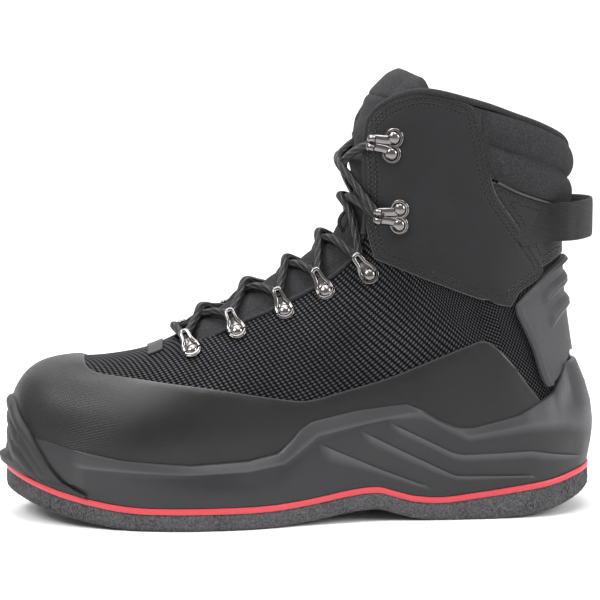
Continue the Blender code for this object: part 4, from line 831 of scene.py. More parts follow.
def tint(tree, share, first, second):
    """A mix of two colours or colour sockets."""
    made = tree.nodes.new("ShaderNodeMix")
    made.data_type = "RGBA"
    fill(tree, made.inputs[0], share)
    for place, colour in ((6, first), (7, second)):
        fill(tree, made.inputs[place], (*colour, 1) if isinstance(colour, tuple) else colour)
    return made.outputs[2]


def cloth_places(tree, scale=(1, 1)):
    """The cloth's own millimetres, scaled."""
    return put(tree, "ShaderNodeMapping", in0=put(tree, "ShaderNodeUVMap", uv_map="cloth"), in3=(*scale, 1))


def object_places(tree):
    return put(tree, "ShaderNodeTexCoord", socket=3)


def noise(tree, places, scale, detail=3.0, roughness=0.55):
    return put(tree, "ShaderNodeTexNoise", in0=places, in2=scale, in3=detail, in4=roughness)


def raise_up(tree, shader, value, distance, strength=1.0):
    """Bump by a height from 0 to 1, over any bump that the shader has already."""
    made = tree.nodes.new("ShaderNodeBump")
    made.inputs["Strength"].default_value = strength
    made.inputs["Distance"].default_value = distance
    tree.links.new(value, made.inputs["Height"])
    held = shader.inputs["Normal"]
    if held.is_linked:
        tree.links.new(held.links[0].from_socket, made.inputs["Normal"])
    tree.links.new(made.outputs[0], held)


def feed(tree, value, shader, name):
    tree.links.new(value, shader.inputs[name])


def field(tree, name):
    return put(tree, "ShaderNodeAttribute", socket=2, attribute_name=name)


def line_at(tree, value, place, half):
    """1 on a line where value is near a place, falling to 0 beside it."""
    return grade(tree, work(tree, "ABSOLUTE", work(tree, "SUBTRACT", value, place)), half, half * 0.45)


def stitches(tree, edge, run, rows, pitch, half):
    """Rows of stitches at distances from the edge: (thread, holes)."""
    step = work(tree, "FRACT", work(tree, "DIVIDE", run, pitch))
    thread = work(tree, "LESS_THAN", work(tree, "ABSOLUTE", work(tree, "SUBTRACT", step, 0.5)), 0.34)
    held = line_at(tree, edge, rows[0], half)
    for row in rows[1:]:
        held = work(tree, "MAXIMUM", held, line_at(tree, edge, row, half))
    holes = work(tree, "MULTIPLY", held, work(tree, "SUBTRACT", 1.0, thread))
    return work(tree, "MULTIPLY", held, thread), holes


def felt_finish():
    """Pressed fibres: a fine grey mottle, light specks and a few upright cuts."""
    made, tree, shader = new_finish("felt", (0.03, 0.029, 0.031), 0.95, Specular_IOR_Level=0.15)
    places = object_places(tree)
    fibres = noise(tree, places, 900, 5.0, 0.7)
    coarse = noise(tree, places, 260, 4.0, 0.6)
    specks = put(tree, "ShaderNodeTexVoronoi", in0=places, in2=640.0)
    light = grade(tree, specks, 0.16, 0.06)
    long_places = put(tree, "ShaderNodeMapping", in0=places, in3=(150, 150, 22))
    cells = put(tree, "ShaderNodeTexVoronoi", feature="DISTANCE_TO_EDGE", in0=long_places)
    cuts = grade(tree, cells, 0.03, 0.0)
    cuts = work(tree, "MULTIPLY", cuts, grade(tree, noise(tree, places, 40, 2.0), 0.50, 0.62))
    shade = tint(tree, grade(tree, fibres, 0.34, 0.66), (0.034, 0.033, 0.035), (0.115, 0.111, 0.116))
    shade = tint(tree, grade(tree, coarse, 0.35, 0.20), shade, (0.020, 0.020, 0.021))
    shade = tint(tree, work(tree, "MULTIPLY", light, 0.6), shade, (0.24, 0.23, 0.23))
    feed(tree, tint(tree, cuts, shade, (0.008, 0.008, 0.008)), shader, "Base Color")
    raise_up(tree, shader, coarse, 0.0009)
    raise_up(tree, shader, fibres, 0.0005)
    raise_up(tree, shader, work(tree, "SUBTRACT", 1.0, cuts), 0.0005)
    return made


def line_finish():
    made, tree, shader = new_finish("line", (0.50, 0.043, 0.058), 0.45)
    raise_up(tree, shader, noise(tree, object_places(tree), 300), 0.00015)
    return made


def moulded_finish(name, colour, roughness, grain, depth, highlight_and_wear_colour=None):
    made, tree, shader = new_finish(name, colour, roughness, Specular_IOR_Level=0.42)
    places = object_places(tree)
    uneven = noise(tree, places, 45, 3.0)
    feed(tree, grade(tree, uneven, 0.3, 0.7, roughness - 0.05, roughness + 0.07), shader, "Roughness")
    raise_up(tree, shader, noise(tree, places, grain, 2.0), depth)
    if highlight_and_wear_colour:
        # Where a second colour is given, it is mixed in by each point's share of painted highlight, partly also
        # wear.
        feed(tree, tint(tree, field(tree, "highlight_and_wear"), colour, highlight_and_wear_colour), shader, "Base Color")
    return made


# The knots' spacing in millimetres, and an even shift that keeps the cloth's numbers above zero
KNOT_PITCH = (2.5, 1.75)
EVEN_SHIFT = 4000.0


def mesh_finish():
    """Open mesh: raised knots in diagonal rows over a dark ground."""
    made, tree, shader = new_finish("mesh", (0.012, 0.012, 0.015), 0.62)
    places = cloth_places(tree, (1 / KNOT_PITCH[0], 1 / KNOT_PITCH[1]))
    split = put(tree, "ShaderNodeSeparateXYZ", in0=places)
    across = split.node.outputs[1]
    across = work(tree, "ADD", across, EVEN_SHIFT)
    odd = work(tree, "MODULO", work(tree, "FLOOR", across), 2.0)
    stagger = work(tree, "MULTIPLY", odd, 0.5)
    column = work(tree, "FRACT", work(tree, "ADD", work(tree, "ADD", split, EVEN_SHIFT), stagger))
    row = work(tree, "FRACT", across)
    a = work(tree, "SUBTRACT", column, 0.5)
    b = work(tree, "SUBTRACT", row, 0.5)
    lean = work(tree, "ADD", a, work(tree, "MULTIPLY", b, 0.45))
    square = work(tree, "MULTIPLY", lean, lean)
    far = work(tree, "SQRT", work(tree, "ADD", square, work(tree, "MULTIPLY", b, b)))
    knot = grade(tree, far, 0.46, 0.20)
    patch = noise(tree, object_places(tree), 28, 2.0)
    light = tint(tree, grade(tree, patch, 0.35, 0.65), (0.021, 0.0205, 0.026), (0.042, 0.041, 0.049))
    feed(tree, tint(tree, knot, (0.0028, 0.0028, 0.0036), light), shader, "Base Color")
    feed(tree, grade(tree, knot, 0.0, 1.0, 0.02, 0.40), shader, "Specular IOR Level")
    raise_up(tree, shader, knot, 0.0009)
    return made


def coated_finish():
    """Smooth coated cloth with a pale cut edge, and fine squares over the toe."""
    made, tree, shader = new_finish("coated", (0.007, 0.007, 0.009), 0.43, Specular_IOR_Level=0.34)
    shader.inputs["Coat Weight"].default_value = 0.06
    shader.inputs["Coat Roughness"].default_value = 0.45
    places = object_places(tree)
    feed(tree, grade(tree, noise(tree, places, 60, 4.0), 0.3, 0.7, 0.38, 0.50), shader, "Roughness")
    cut = line_at(tree, field(tree, "edge"), 0.25, 0.55)
    feed(tree, tint(tree, cut, (0.006, 0.006, 0.007), (0.030, 0.030, 0.033)), shader, "Base Color")
    raise_up(tree, shader, noise(tree, places, 900, 2.0), 0.00008)
    cloth = cloth_places(tree)
    dimples = put(tree, "ShaderNodeTexVoronoi", distance="CHEBYCHEV", in0=cloth, in2=0.72, in8=0.15)
    near_toe = grade(tree, put(tree, "ShaderNodeSeparateXYZ", in0=places), -0.19, -0.23)
    raise_up(tree, shader, work(tree, "MULTIPLY", grade(tree, dimples, 0.30, 0.5), near_toe), 0.00016)
    return made


def nubuck_finish():
    """Smooth nubuck with double stitching along its edges, and a light cut edge."""
    made, tree, shader = new_finish("nubuck", (0.016, 0.016, 0.018), 0.66, Specular_IOR_Level=0.25)
    shader.inputs["Sheen Weight"].default_value = 0.10
    shader.inputs["Sheen Roughness"].default_value = 0.5
    places = object_places(tree)
    edge, run = field(tree, "edge"), field(tree, "run")
    thread, holes = stitches(tree, edge, run, SEAM_ROWS, 2.4, 0.60)
    rim = line_at(tree, edge, 0.1, 0.5)
    patch = noise(tree, places, 35, 4.0)
    shade = tint(tree, grade(tree, patch, 0.3, 0.7), (0.0065, 0.0065, 0.0075), (0.0105, 0.0105, 0.012))
    shade = tint(tree, rim, shade, (0.055, 0.054, 0.056))
    shade = tint(tree, thread, shade, (0.0016, 0.0016, 0.0018))
    feed(tree, tint(tree, holes, shade, (0.006, 0.006, 0.007)), shader, "Base Color")
    raise_up(tree, shader, noise(tree, places, 1400, 3.0), 0.00012)
    raise_up(tree, shader, work(tree, "SUBTRACT", thread, work(tree, "MULTIPLY", holes, 1.5)), 0.0009)
    return made


def softshell_finish(name="softshell"):
    """Brushed knit: fine light specks over black."""
    made, tree, shader = new_finish(name, (0.010, 0.010, 0.011), 0.88, Specular_IOR_Level=0.25)
    places = object_places(tree)
    specks = noise(tree, places, 1500, 2.0, 0.7)
    shade = tint(tree, grade(tree, specks, 0.45, 0.75), (0.0145, 0.0145, 0.0155), (0.044, 0.044, 0.048))
    feed(tree, shade, shader, "Base Color")
    raise_up(tree, shader, specks, 0.0003)
    raise_up(tree, shader, noise(tree, places, 160, 3.0), 0.0006)
    return made


def webbing_finish():
    made, tree, shader = new_finish("webbing", (0.020, 0.020, 0.022), 0.58, Specular_IOR_Level=0.4)
    places = cloth_places(tree)
    waves = put(tree, "ShaderNodeTexWave", socket=1, in0=places, in1=1.1, in2=0.4, in3=1.0)
    ribs = put(tree, "ShaderNodeTexWave", socket=1, bands_direction="Y", in0=places, in1=0.35)
    raise_up(tree, shader, waves, 0.00025)
    raise_up(tree, shader, ribs, 0.00035)
    return made


def cord_finish():
    """A braided lace with a few lighter strands."""
    made, tree, shader = new_finish("cord", (0.010, 0.010, 0.011), 0.60, Specular_IOR_Level=0.35)
    places = cloth_places(tree)
    split = put(tree, "ShaderNodeSeparateXYZ", in0=places)
    round_it = split.node.outputs[1]
    lean = work(tree, "MULTIPLY", round_it, 0.9)
    one, two = (work(tree, "SINE", work(tree, "MULTIPLY", work(tree, way, split, lean), 3.1))
                for way in ("ADD", "SUBTRACT"))
    braid = work(tree, "MULTIPLY", one, two)
    twist = work(tree, "ADD", work(tree, "MULTIPLY", round_it, 5.0), work(tree, "MULTIPLY", split, 0.8))
    strands = work(tree, "SINE", twist)
    light = work(tree, "MULTIPLY", grade(tree, strands, 0.35, 0.95), grade(tree, braid, -0.5, 0.5, 0.35, 1.0))
    feed(tree, tint(tree, light, (0.0065, 0.0065, 0.007), (0.085, 0.085, 0.090)), shader, "Base Color")
    raise_up(tree, shader, grade(tree, braid, -1.0, 1.0), 0.0009)
    return made


def metal_finish():
    made, tree, shader = new_finish("nickel", (0.19, 0.18, 0.175), 0.22, Metallic=1.0)
    uneven = noise(tree, object_places(tree), 500, 3.0)
    feed(tree, grade(tree, uneven, 0.3, 0.7, 0.12, 0.26), shader, "Roughness")
    return made


def tube(name, path, radius, finish, sides=14):
    """A round cord along a dense path, with its millimetres along and round it."""
    path = np.asarray(path)
    run = heading(path)
    level = np.zeros_like(path)
    level[0] = np.cross(run[0], (0.3, 0.2, 1.0))
    for k in range(1, len(path)):
        level[k] = level[k - 1] - run[k] * (level[k - 1] @ run[k])
        level[k] /= np.linalg.norm(level[k])
    level[0] /= np.linalg.norm(level[0])
    rise = np.cross(level, run)
    radius = np.broadcast_to(radius, len(path))
    turns = np.linspace(0, 2 * pi, sides, endpoint=False)
    rings = [p + r * (np.outer(np.cos(turns), a) + np.outer(np.sin(turns), b))
             for p, r, a, b in zip(path, radius, level, rise)]
    obj = mesh_object(name, np.concatenate(rings), tube_faces(len(path), sides), finish, 50)
    round_it = np.arange(sides) * 2.0 / sides * pi
    places = np.stack(np.meshgrid(reach_along(path) / MM, round_it, indexing="ij"), -1).reshape(-1, 2)
    cloth_map(obj, places)
    return obj


def turned(profile, sides=28):
    """Points and faces of a form turned about Z, from its foot to its crown."""
    turns = np.linspace(0, 2 * pi, sides, endpoint=False)
    points = [(r * cos(t), r * sin(t), z) for r, z in profile for t in turns]
    faces = [tuple(reversed(range(sides))), tuple((len(profile) - 1) * sides + k for k in range(sides))]
    for i in range(len(profile) - 1):
        for k in range(sides):
            n = (k + 1) % sides
            faces.append((i * sides + k, i * sides + n, i * sides + sides + n, i * sides + sides + k))
    return points, faces


def per_step(low, high, step):
    """Evenly spaced rows, so many to each row of the last."""
    return np.linspace(low, high, int(round((high - low) * step)) + 1)


def build_upper(finishes):
    """The upper's own wall, its panels over it and the soft folds that run through them."""
    def panel_lift(places, signed):
        return fold_lift(places) + GAP + PANEL_THICKNESS + rounded(signed)

    above = in_view(((-0.3, 0.864), (-0.3, -0.1), (1.2, -0.1), (1.2, 0.55), (0.721, 0.55)))
    outline = np.concatenate([on_view(FACING, 60)[:-1], on_view(COLLAR, 50), above])
    base = skin("boot.upper", per_step(0, LAST_ROW, 8), 161, "top", outline,
                lambda places, signed: fold_lift(places), finishes["mesh"])
    base.data.materials.append(finishes["softshell"])
    wall = base.modifiers.new("wall", "SOLIDIFY")
    wall.thickness = UPPER_WALL
    wall.offset = -1
    wall.material_offset = 1
    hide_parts("upper")

    below = in_view(((0.085, -0.1), (1.2, -0.1), (1.2, 0.55), (0.866, 0.55)))
    outline = np.concatenate([on_view(MESH_LINE, 90), below])
    panel = skin("boot.side_panel", per_step(0, LAST_ROW - 5, 9), 171, "top", outline, panel_lift,
                 finishes["coated"], PANEL_THICKNESS + 2 * GAP)
    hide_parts("side_panel")

    outline = np.concatenate([on_view(ANKLE_BOTTOM, 30)[:-1], on_view(ANKLE_REAR, 40)[:-1],
                              on_view(ANKLE_TOP, 30)[::-1][:-1], on_view(ANKLE_FRONT, 20)[::-1][:-1]])

    def ankle_lift(places, signed):
        seams = np.zeros(len(places))
        for row in SEAM_ROWS:
            seams -= SEAM_DEPTH * np.exp(-(((signed / MM - row) / 0.7) ** 2))
        return fold_lift(places) + GAP + ANKLE_THICKNESS + rounded(signed) + seams

    for side, name in ((-1, "outer"), (1, "inner")):
        panel = skin(f"boot.ankle_panel_{name}", per_step(7, LAST_ROW, 10), 131, "top", outline, ankle_lift,
                     finishes["nubuck"], ANKLE_THICKNESS + 2 * GAP, (side,))
        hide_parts(f"ankle_panel_{name}")

    behind = in_view([(-0.02, v) for v in reversed(BACK_BACK)])
    outline = np.concatenate([on_view(BACK_FRONT, 30)[:-1], on_view(BACK_TOP, 20), behind,
                              on_view(BACK_BOTTOM, 12)[::-1][1:-1]])
    back = skin("boot.back_panel", per_step(SEAT_ROW, LAST_ROW, 10), 181, "heel", outline, panel_lift,
                finishes["nubuck"], PANEL_THICKNESS + 2 * GAP)
    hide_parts("back_panel")


def build_collar(finishes):
    def puffs(a, b):
        """Two rolls with a stitched groove between them, that sag a little unevenly."""
        wave = 1 + 0.10 * np.sin(a * 9.0 + 0.7) * np.sin(b * pi)
        roll = np.abs(np.sin(2 * pi * np.clip(b * 0.98 + 0.01, 0, 1))) ** 0.55
        return GAP + PANEL_THICKNESS + COLLAR_PUFF * wave * roll * np.clip((a - 0.07) / 0.08, 0, 1) ** 0.5

    pad = wrap_sheet("boot.collar_pad", PAD_BOTTOM, PAD_TOP, PAD_FRONT, PAD_BACK, 70, 46, puffs,
                     finishes["softshell"], PANEL_THICKNESS + GAP)
    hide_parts("collar_pad")

    def ribs(a, b):
        """The counter's ribs, its flat border and the piping round it."""
        rise = 0
        for middle, half in COUNTER_RIBS:
            here = np.clip(1.25 - 1.25 * np.abs(b - middle) / half, 0, 1)
            ridge = here - 0.22 * np.exp(-(((b - middle) / (0.25 * half)) ** 2))
            rise = rise + ridge * np.clip((a - 0.30) / 0.06, 0, 1)
        edge = np.minimum(a / 0.105, (1 - b) / 0.055)
        piping = np.exp(-(((edge - 0.45) / 0.30) ** 2))
        border = np.clip((edge - 0.95) / 0.10, 0, 1)
        relief = COUNTER_RIB * rise + COUNTER_PIPING * piping - COUNTER_BORDER * border
        return GAP + COUNTER_THICKNESS + relief

    counter = wrap_sheet("boot.heel_counter", COUNTER_BOTTOM, COUNTER_TOP, COUNTER_FRONT, COUNTER_BACK,
                         110, 120, ribs, finishes["counter"], COUNTER_THICKNESS + GAP)
    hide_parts("heel_counter")


def over_last(shares, side, lift, count):
    """A side-view path laid on the last at a lift."""
    s, girth = locate(on_view(shares, count))
    s, girth = np.minimum(s, LAST_ROW), np.clip(girth, -90, 90)
    where = np.full(len(s), float(side))
    return last_point(s, girth, where) + last_normal(s, girth, where) * lift


# Rolled edges: name, path, lift, points, radius, finish and sides
TRIMS = (("binding", FACING[8:] + COLLAR[1:], 0.0007, 200, 0.0017, "binding", 14),
         ("facing", FACING[2:9], 0.0002, 120, 0.0011, "binding", 10),
         ("hem", HEM, 0.0016, 60, 0.0007, "hem", 8))


def build_bindings(finishes):
    """The rolled binding up the facings and round the collar, and the piping under the collar's pad."""
    for side, name in ((-1, "outer"), (1, "inner")):
        for kind, shares, lift, count, radius, finish, sides in TRIMS:
            path = over_last(shares, side, lift, count)
            trim = tube(f"boot.{kind}_{name}", path, radius, finishes[finish], sides)


# The lace keeper's route in millimetres
KEEPER_PATH = ((-82, -3, 158), (-89, -6, 157.5), (-92.5, -7, 153), (-91, -6, 148), (-85, -4, 144.5),
               (-80, -3, 144))
KEEPER_RADIUS = 0.0010
# The vamp's tab: its rows, how far it reaches down each side in degrees, its lift and its thickness
TAB_ROWS = (4.98, 5.36)
TAB_REACH = 19
TAB_LIFT = 0.0011
TAB_THICKNESS = 0.0009


def build_small_trims(finishes):
    """The plain tab sewn over the vamp and the thin webbing keeper on the tongue."""
    rows, share = per_step(*TAB_ROWS, 24), np.linspace(-1, 1, 25)
    s, t = np.meshgrid(rows, share, indexing="ij")
    side = np.where(t < 0, -1.0, 1.0)
    girth = 90 - TAB_REACH * np.abs(t)
    points = last_point(s, girth, side) + last_normal(s, girth, side) * TAB_LIFT
    faces = grid_faces(len(rows), len(share), True)
    tab = mesh_object("boot.vamp_tab", points.reshape(-1, 3), faces, finishes["tab"])
    wall = tab.modifiers.new("wall", "SOLIDIFY")
    wall.thickness = TAB_THICKNESS
    wall.offset = -1
    keeper = tube("boot.lace_keeper", smooth_curve(KEEPER_PATH, 60) * MM, KEEPER_RADIUS, finishes["webbing"], 10)


def build_tongue(finishes):
    """The padded tongue between the facings, puffed between the lace's crossings, standing free above."""
    facing = girth_over(FACING)
    rows = per_step(*TONGUE_ROWS, 9)
    share = np.linspace(0, 1, 41)
    top_girth, top_row = smooth_curve(TONGUE_TOP, 40).T
    marks = sorted(on_side(*foot)[0] for foot, _ in RINGS + HOOKS)
    crossing = np.interp(rows, marks, np.arange(len(marks)))
    edge_rows, edge = (TONGUE_ROWS[0], 9, 14, 20, TONGUE_ROWS[1]), (*TONGUE_EDGE, top_girth[0])
    low = np.interp(rows, edge_rows, edge)
    halves, cloths = [], []
    for side in (-1, 1):
        girth = low[:, None] + (90 - low)[:, None] * share[None, :]
        rise = np.clip((rows - 19) / (rows[-1] - 19), 0, 1)[:, None] ** 1.5
        tip = np.interp(girth, top_girth, top_row)
        s = np.minimum(rows[:, None] + rise * (tip - rows[-1]), LAST_ROW)
        inside = np.clip((girth - facing(rows)[:, None] - 6) / 22, 0, 1)
        sunk = np.interp(rows, (14, 21), (0, TONGUE_SINK))[:, None]
        free = np.clip((rows - TONGUE_FREE_ROW) / 2.5, 0, 1)[:, None]
        puff = np.abs(np.cos(crossing * pi))[:, None] ** 0.8 * TONGUE_PUFF
        high = -(UPPER_WALL + 3 * GAP) + (TONGUE_RISE + puff) * inside * (1 - free) - sunk * (1 - inside)
        lean = np.clip((rows - 21.8) / 1.9, 0, 1)[:, None] ** 1.6
        high = high + TONGUE_STAND * free * inside - TONGUE_LEAN * lean
        high = high - TONGUE_LIP * np.clip((rows - rows[-1] + 0.45) / 0.45, 0, 1)[:, None] ** 2
        seam = -TONGUE_SEAM * np.exp(-(((rows - TONGUE_SEAM_ROW) / 0.10) ** 2))[:, None]
        wave = TONGUE_WAVE * np.sin(rows * 2.3)[:, None] * np.sin(girth / 11.0)
        where = np.full(s.shape, float(side))
        points = last_point(s, girth, where)
        halves.append(points + last_normal(s, girth, where) * (high + seam + wave * inside)[..., None])
        cloths.append(np.stack([arc(points, 0), side * arc(points[:, ::-1], 1)[:, ::-1]], -1))
    grid = np.concatenate([halves[0], halves[1][:, -2::-1]], 1)
    cloth = np.concatenate([cloths[0], cloths[1][:, -2::-1]], 1)
    faces = grid_faces(*grid.shape[:2], True)
    tongue = mesh_object("boot.tongue", grid.reshape(-1, 3), faces, finishes["tongue"])
    cloth_map(tongue, cloth.reshape(-1, 2))
    wall = tongue.modifiers.new("padding", "SOLIDIFY")
    wall.thickness = TONGUE_THICKNESS
    wall.offset = -1
    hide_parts("tongue")


# The felt's side: (share of its height, inset), and how far its cut edge wanders
FELT_SIDE = ((0.0, 0.0022), (0.0, 0.0010), (0.12, 0.0002), (0.3, 0.0), (0.5, 0.0001), (0.7, 0.0),
             (0.88, 0.0001), (1.0, 0.0005))
FELT_WANDER = 0.00022
LINE_SIDE = ((0.0, 0.0008), (0.04, 0.0001), (0.3, -0.0002), (0.7, -0.0002), (0.96, 0.0001), (1.0, 0.0010))


def line_bottom(x):
    return felt_top(x) + LEAST_STEP


def graded(low, high, share):
    """A rule for heights at a share of the way between two others."""
    return lambda x: low(x) * (1 - share) + high(x) * share


def both(value):
    return {-1: value, 1: value}


def build_sole(finishes):
    """The cup with its ledges, the ragged felt and the line between them."""
    tree = last_tree()
    u = sole_stations(190)
    cups = {side: cup_side(side, u, tree) for side in (-1, 1)}

    def level(k, inwards=0.0, lift=0.0):
        """The ring at one level of the cup's side, moved in and up."""
        return ring_round(u, {side: cup[k][0] + inwards for side, cup in cups.items()},
                          {side: cup[k][1] + lift for side, cup in cups.items()})

    levels = range(len(cups[1]))
    rings = [level(0, CUP_FOOT), *[level(k) for k in levels], level(-1, 0.5 * RIM_WALL, 0.0001),
             level(-1, 1.0 * RIM_WALL, -0.0012), level(-1, 1.5 * RIM_WALL, -0.0050)]
    cup = ring_stack("boot.midsole", rings, finishes["midsole"], cap_low=True, smooth=24)
    # The shares of painted highlight on the ledges, the chamfer and the rim, partly also wear, as numbers on the
    # cup's points.
    highlight_and_wear = [ring_round(u, both(0), {side: cup[k][2] for side, cup in cups.items()})[:, 2] for k in levels]
    bare = 0 * highlight_and_wear[0]
    attribute(cup, "highlight_and_wear", np.concatenate([bare, *highlight_and_wear, bare + RIM_HIGHLIGHT_AND_WEAR, bare, bare]))
    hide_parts("midsole")

    u = sole_stations(330)
    chance = np.random.default_rng(7)

    def ragged(inset):
        """An inset with a slow and a quick wander along the edge, in metres."""
        slow = np.convolve(chance.normal(0, 1, len(u) + 8), np.ones(9) / 9, "valid")
        return np.clip(FELT_WANDER * (0.8 * slow + 0.45 * chance.normal(0, 1, len(u))) + inset, -0.0004, 1)

    rings = [ring_round(u, {side: ragged(inset) for side in (-1, 1)}, graded(bottom_height, felt_top, share))
             for share, inset in FELT_SIDE]
    felt = ring_stack("boot.felt", rings, finishes["felt"], cap_low=True, cap_high=True, smooth=60)
    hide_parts("outsole_felt")

    u = sole_stations(190)
    rings = [ring_round(u, both(inset), graded(line_bottom, line_top, share)) for share, inset in LINE_SIDE]
    line = ring_stack("boot.line", rings, finishes["line"], cap_low=True, cap_high=True)
    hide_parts("sole_line")
    return tree


def build_bumper(finishes, tree):
    """The moulded wrap over the toe: bulges stacked between creases, and a rounded upper edge."""
    parts = {}
    for side in (-1, 1):
        end = BUMPER_ENDS[side < 0]
        u = np.linspace(0, 1, 170) ** 0.8 * (1 - end) + end
        floor = line_top(outline_at(u, side)[0][:, 0]) + GAP
        rim = curve_height(RIM)(u)
        inset, level, _ = (np.array(rows).T for rows in zip(*cup_side(side, u, tree)))
        top = np.maximum(curve_height(BUMPER_TOP)(u), floor + BUMPER_LEAST)
        plan, normal = outline_at(u, side)
        grid = []
        for share in np.linspace(0, 1, 34):
            z = floor + (top - floor) * share
            wall = np.array([np.interp(*row) for row in zip(z, level, inset)])
            seat = np.where(z > rim, inset_to_upper(side, u, z, tree) - BUMPER_OVERLAP, wall)
            rolls = BUMPER_ROLL * np.abs(np.sin(pi * np.clip((top - z) / BUMPER_ROLL_PITCH, 0, 3.0))) ** 0.55
            rolls = rolls * np.clip((u - 0.92) / 0.05, 0, 1)
            lip = BUMPER_LIP * (1 - np.sqrt(1 - np.clip((share - 0.93) / 0.07, 0, 1) ** 2))
            out = seat - BUMPER_WALL - rolls + 1.3 * lip
            grid.append(np.column_stack([plan - normal * out[:, None], z]))
        grid.append(np.column_stack([plan - normal * (out + 0.003)[:, None], z - 0.0004]))
        parts[side] = np.array(grid)
    whole = np.concatenate([parts[-1], parts[1][:, -2::-1]], 1)
    faces = grid_faces(*whole.shape[:2], True)
    bumper = mesh_object("boot.toe_bumper", whole.reshape(-1, 3), faces, finishes["rubber"], 45)
    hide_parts("toe_bumper")


def build_loop(finishes):
    """The webbing pull loop, with rounded edges and a slight wave."""
    route = []
    for (u, v), stand in zip(LOOP_SEAT, LOOP_STANDS):
        s, girth = on_side(u, v)
        route.append(last_point(s, girth, -1) + last_normal(s, girth, -1) * stand)
    for u, v, width in LOOP_FREE:
        route.append(np.array([along(u), -width * BALL_WIDTH, height(v)]))
    route = np.array(route)
    route = np.concatenate([route, route[-2::-1] * (1, -1, 1)])
    path = smooth_curve(route, 140)
    share = np.linspace(0, 1, len(path))
    slant = np.clip(1 - np.minimum(share, 1 - share) / 0.12, 0, 1)
    across = np.stack([-LOOP_SLANT * slant, 0 * slant, 0 * slant + 1], -1) * STRAP_WIDTH / 2
    out = np.cross(np.gradient(path, axis=0), across)
    out *= STRAP_THICKNESS / 2 / np.linalg.norm(out, axis=1, keepdims=True)
    turns = np.linspace(0, 2 * pi, 33)[:-1]
    wide, deep = (np.sign(part) * np.abs(part) ** 0.35 for part in (np.cos(turns), np.sin(turns)))
    rings = path[:, None] + across[:, None] * wide[:, None] + out[:, None] * deep[:, None]
    faces = tube_faces(len(path), len(turns))
    loop = mesh_object("boot.pull_loop", rings.reshape(-1, 3), faces, finishes["webbing"], 50)
    wide = wide * STRAP_WIDTH / 2 / MM
    cloth_map(loop, np.stack(np.meshgrid(reach_along(path) / MM, wide, indexing="ij"), -1).reshape(-1, 2))
    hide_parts("pull_loop")


def joined_parts(parts):
    """Points and faces of several forms as one."""
    points, faces = [], []
    for more, rows in parts:
        base = len(points)
        points += [tuple(p) for p in more]
        faces += [tuple(k + base for k in face) for face in rows]
    return points, faces


def rod(path, radius, sides=12, flat=1.0):
    """Points and faces of a bent rod, squashed along Z by flat."""
    path = np.asarray(path, float)
    run = heading(path)
    level = np.cross(run, (0, 0, 1.0))
    level /= np.maximum(np.linalg.norm(level, axis=1, keepdims=True), 1e-9)
    rise = np.cross(level, run)
    turns = np.linspace(0, 2 * pi, sides, endpoint=False)
    radius = np.broadcast_to(radius, len(path))
    points = [p + r * (cos(t) * a + flat * sin(t) * b) for p, r, a, b in zip(path, radius, level, rise)
              for t in turns]
    return points, tube_faces(len(path), sides)


def moved(part, shift):
    return [tuple(np.add(p, shift)) for p in part[0]], part[1]


# Profiles of the rivets' heads and feet: (radius, height) from the foot to the crown
DOME = ((0.0046, -0.0004), (0.0046, 0.0008), (0.0043, 0.0013), (0.0038, 0.0013), (0.0034, 0.0007),
        (0.0032, 0.0011), (0.0028, 0.0018), (0.0021, 0.0023), (0.0011, 0.0026), (0.0001, 0.0027))
PLATE = ((0.0050, -0.0004), (0.0050, 0.0003), (0.0047, 0.0006), (0.0001, 0.0006))
RIVET_RADIUS = 0.0039
RING_LENGTH = 0.0165
RING_WIDTH = 0.0090
RING_WIRE = 0.00095
RING_BOW = 0.00125
HOOK_LENGTH = 0.0150
# Where the cord passes through a fitting, from its rivet
CORD_SPOTS = {"ring": (0.0088, 0, 0.0012), "hook": (0.0085, 0, 0.0032)}


def ring_form():
    """A rivet, its foot, the web under it and a wire bow ahead of it."""
    reach, half = RING_LENGTH - RIVET_RADIUS - RING_WIRE, (RING_WIDTH - 2 * RING_WIRE) / 2
    bow = [(-0.05 * reach, -1.12 * half, 0.0007), (0.25 * reach, -1.02 * half, 0.0010),
           (0.52 * reach, -0.62 * half, 0.0024), (0.93 * reach, -0.48 * half, 0.0038), (reach, 0, 0.0039)]
    bow += [(x, -y, z) for x, y, z in bow[-2::-1]]
    web = [(0.0020, 0, 0.0006), (0.0046, 0, 0.0009), (0.0066, 0, 0.0017), (0.0074, 0, 0.0020)]
    web = rod(smooth_curve(web, 10), np.linspace(0.0032, 0.0021, 10), 12, 0.22)
    return joined_parts([turned(DOME), turned(PLATE), web, rod(smooth_curve(bow, 44), RING_BOW)])


def hook_form():
    """Two rivets side by side, and a fork that bends back over itself."""
    reach = HOOK_LENGTH - RIVET_RADIUS
    beside = {way: (0, way * HOOK_SPREAD / 2, 0) for way in (1, -1)}
    parts = [moved(turned(DOME), shift) for shift in beside.values()]
    radii = np.interp(np.linspace(0, 1, 30), (0, 0.5, 1), (0.0027, 0.0025, 0.0017))
    for way in (-1, 1):
        route = [(-0.02 * reach, way * 0.0034, 0.0004), (0.30 * reach, way * 0.0024, 0.0008),
                 (0.70 * reach, way * 0.0021, 0.0016), (1.00 * reach, way * 0.0022, 0.0034),
                 (0.98 * reach, way * 0.0022, 0.0052), (0.72 * reach, way * 0.0024, 0.0058)]
        parts += [moved(turned(PLATE), beside[way]), rod(smooth_curve(route, 30), radii, 12, 0.6)]
    return joined_parts(parts)


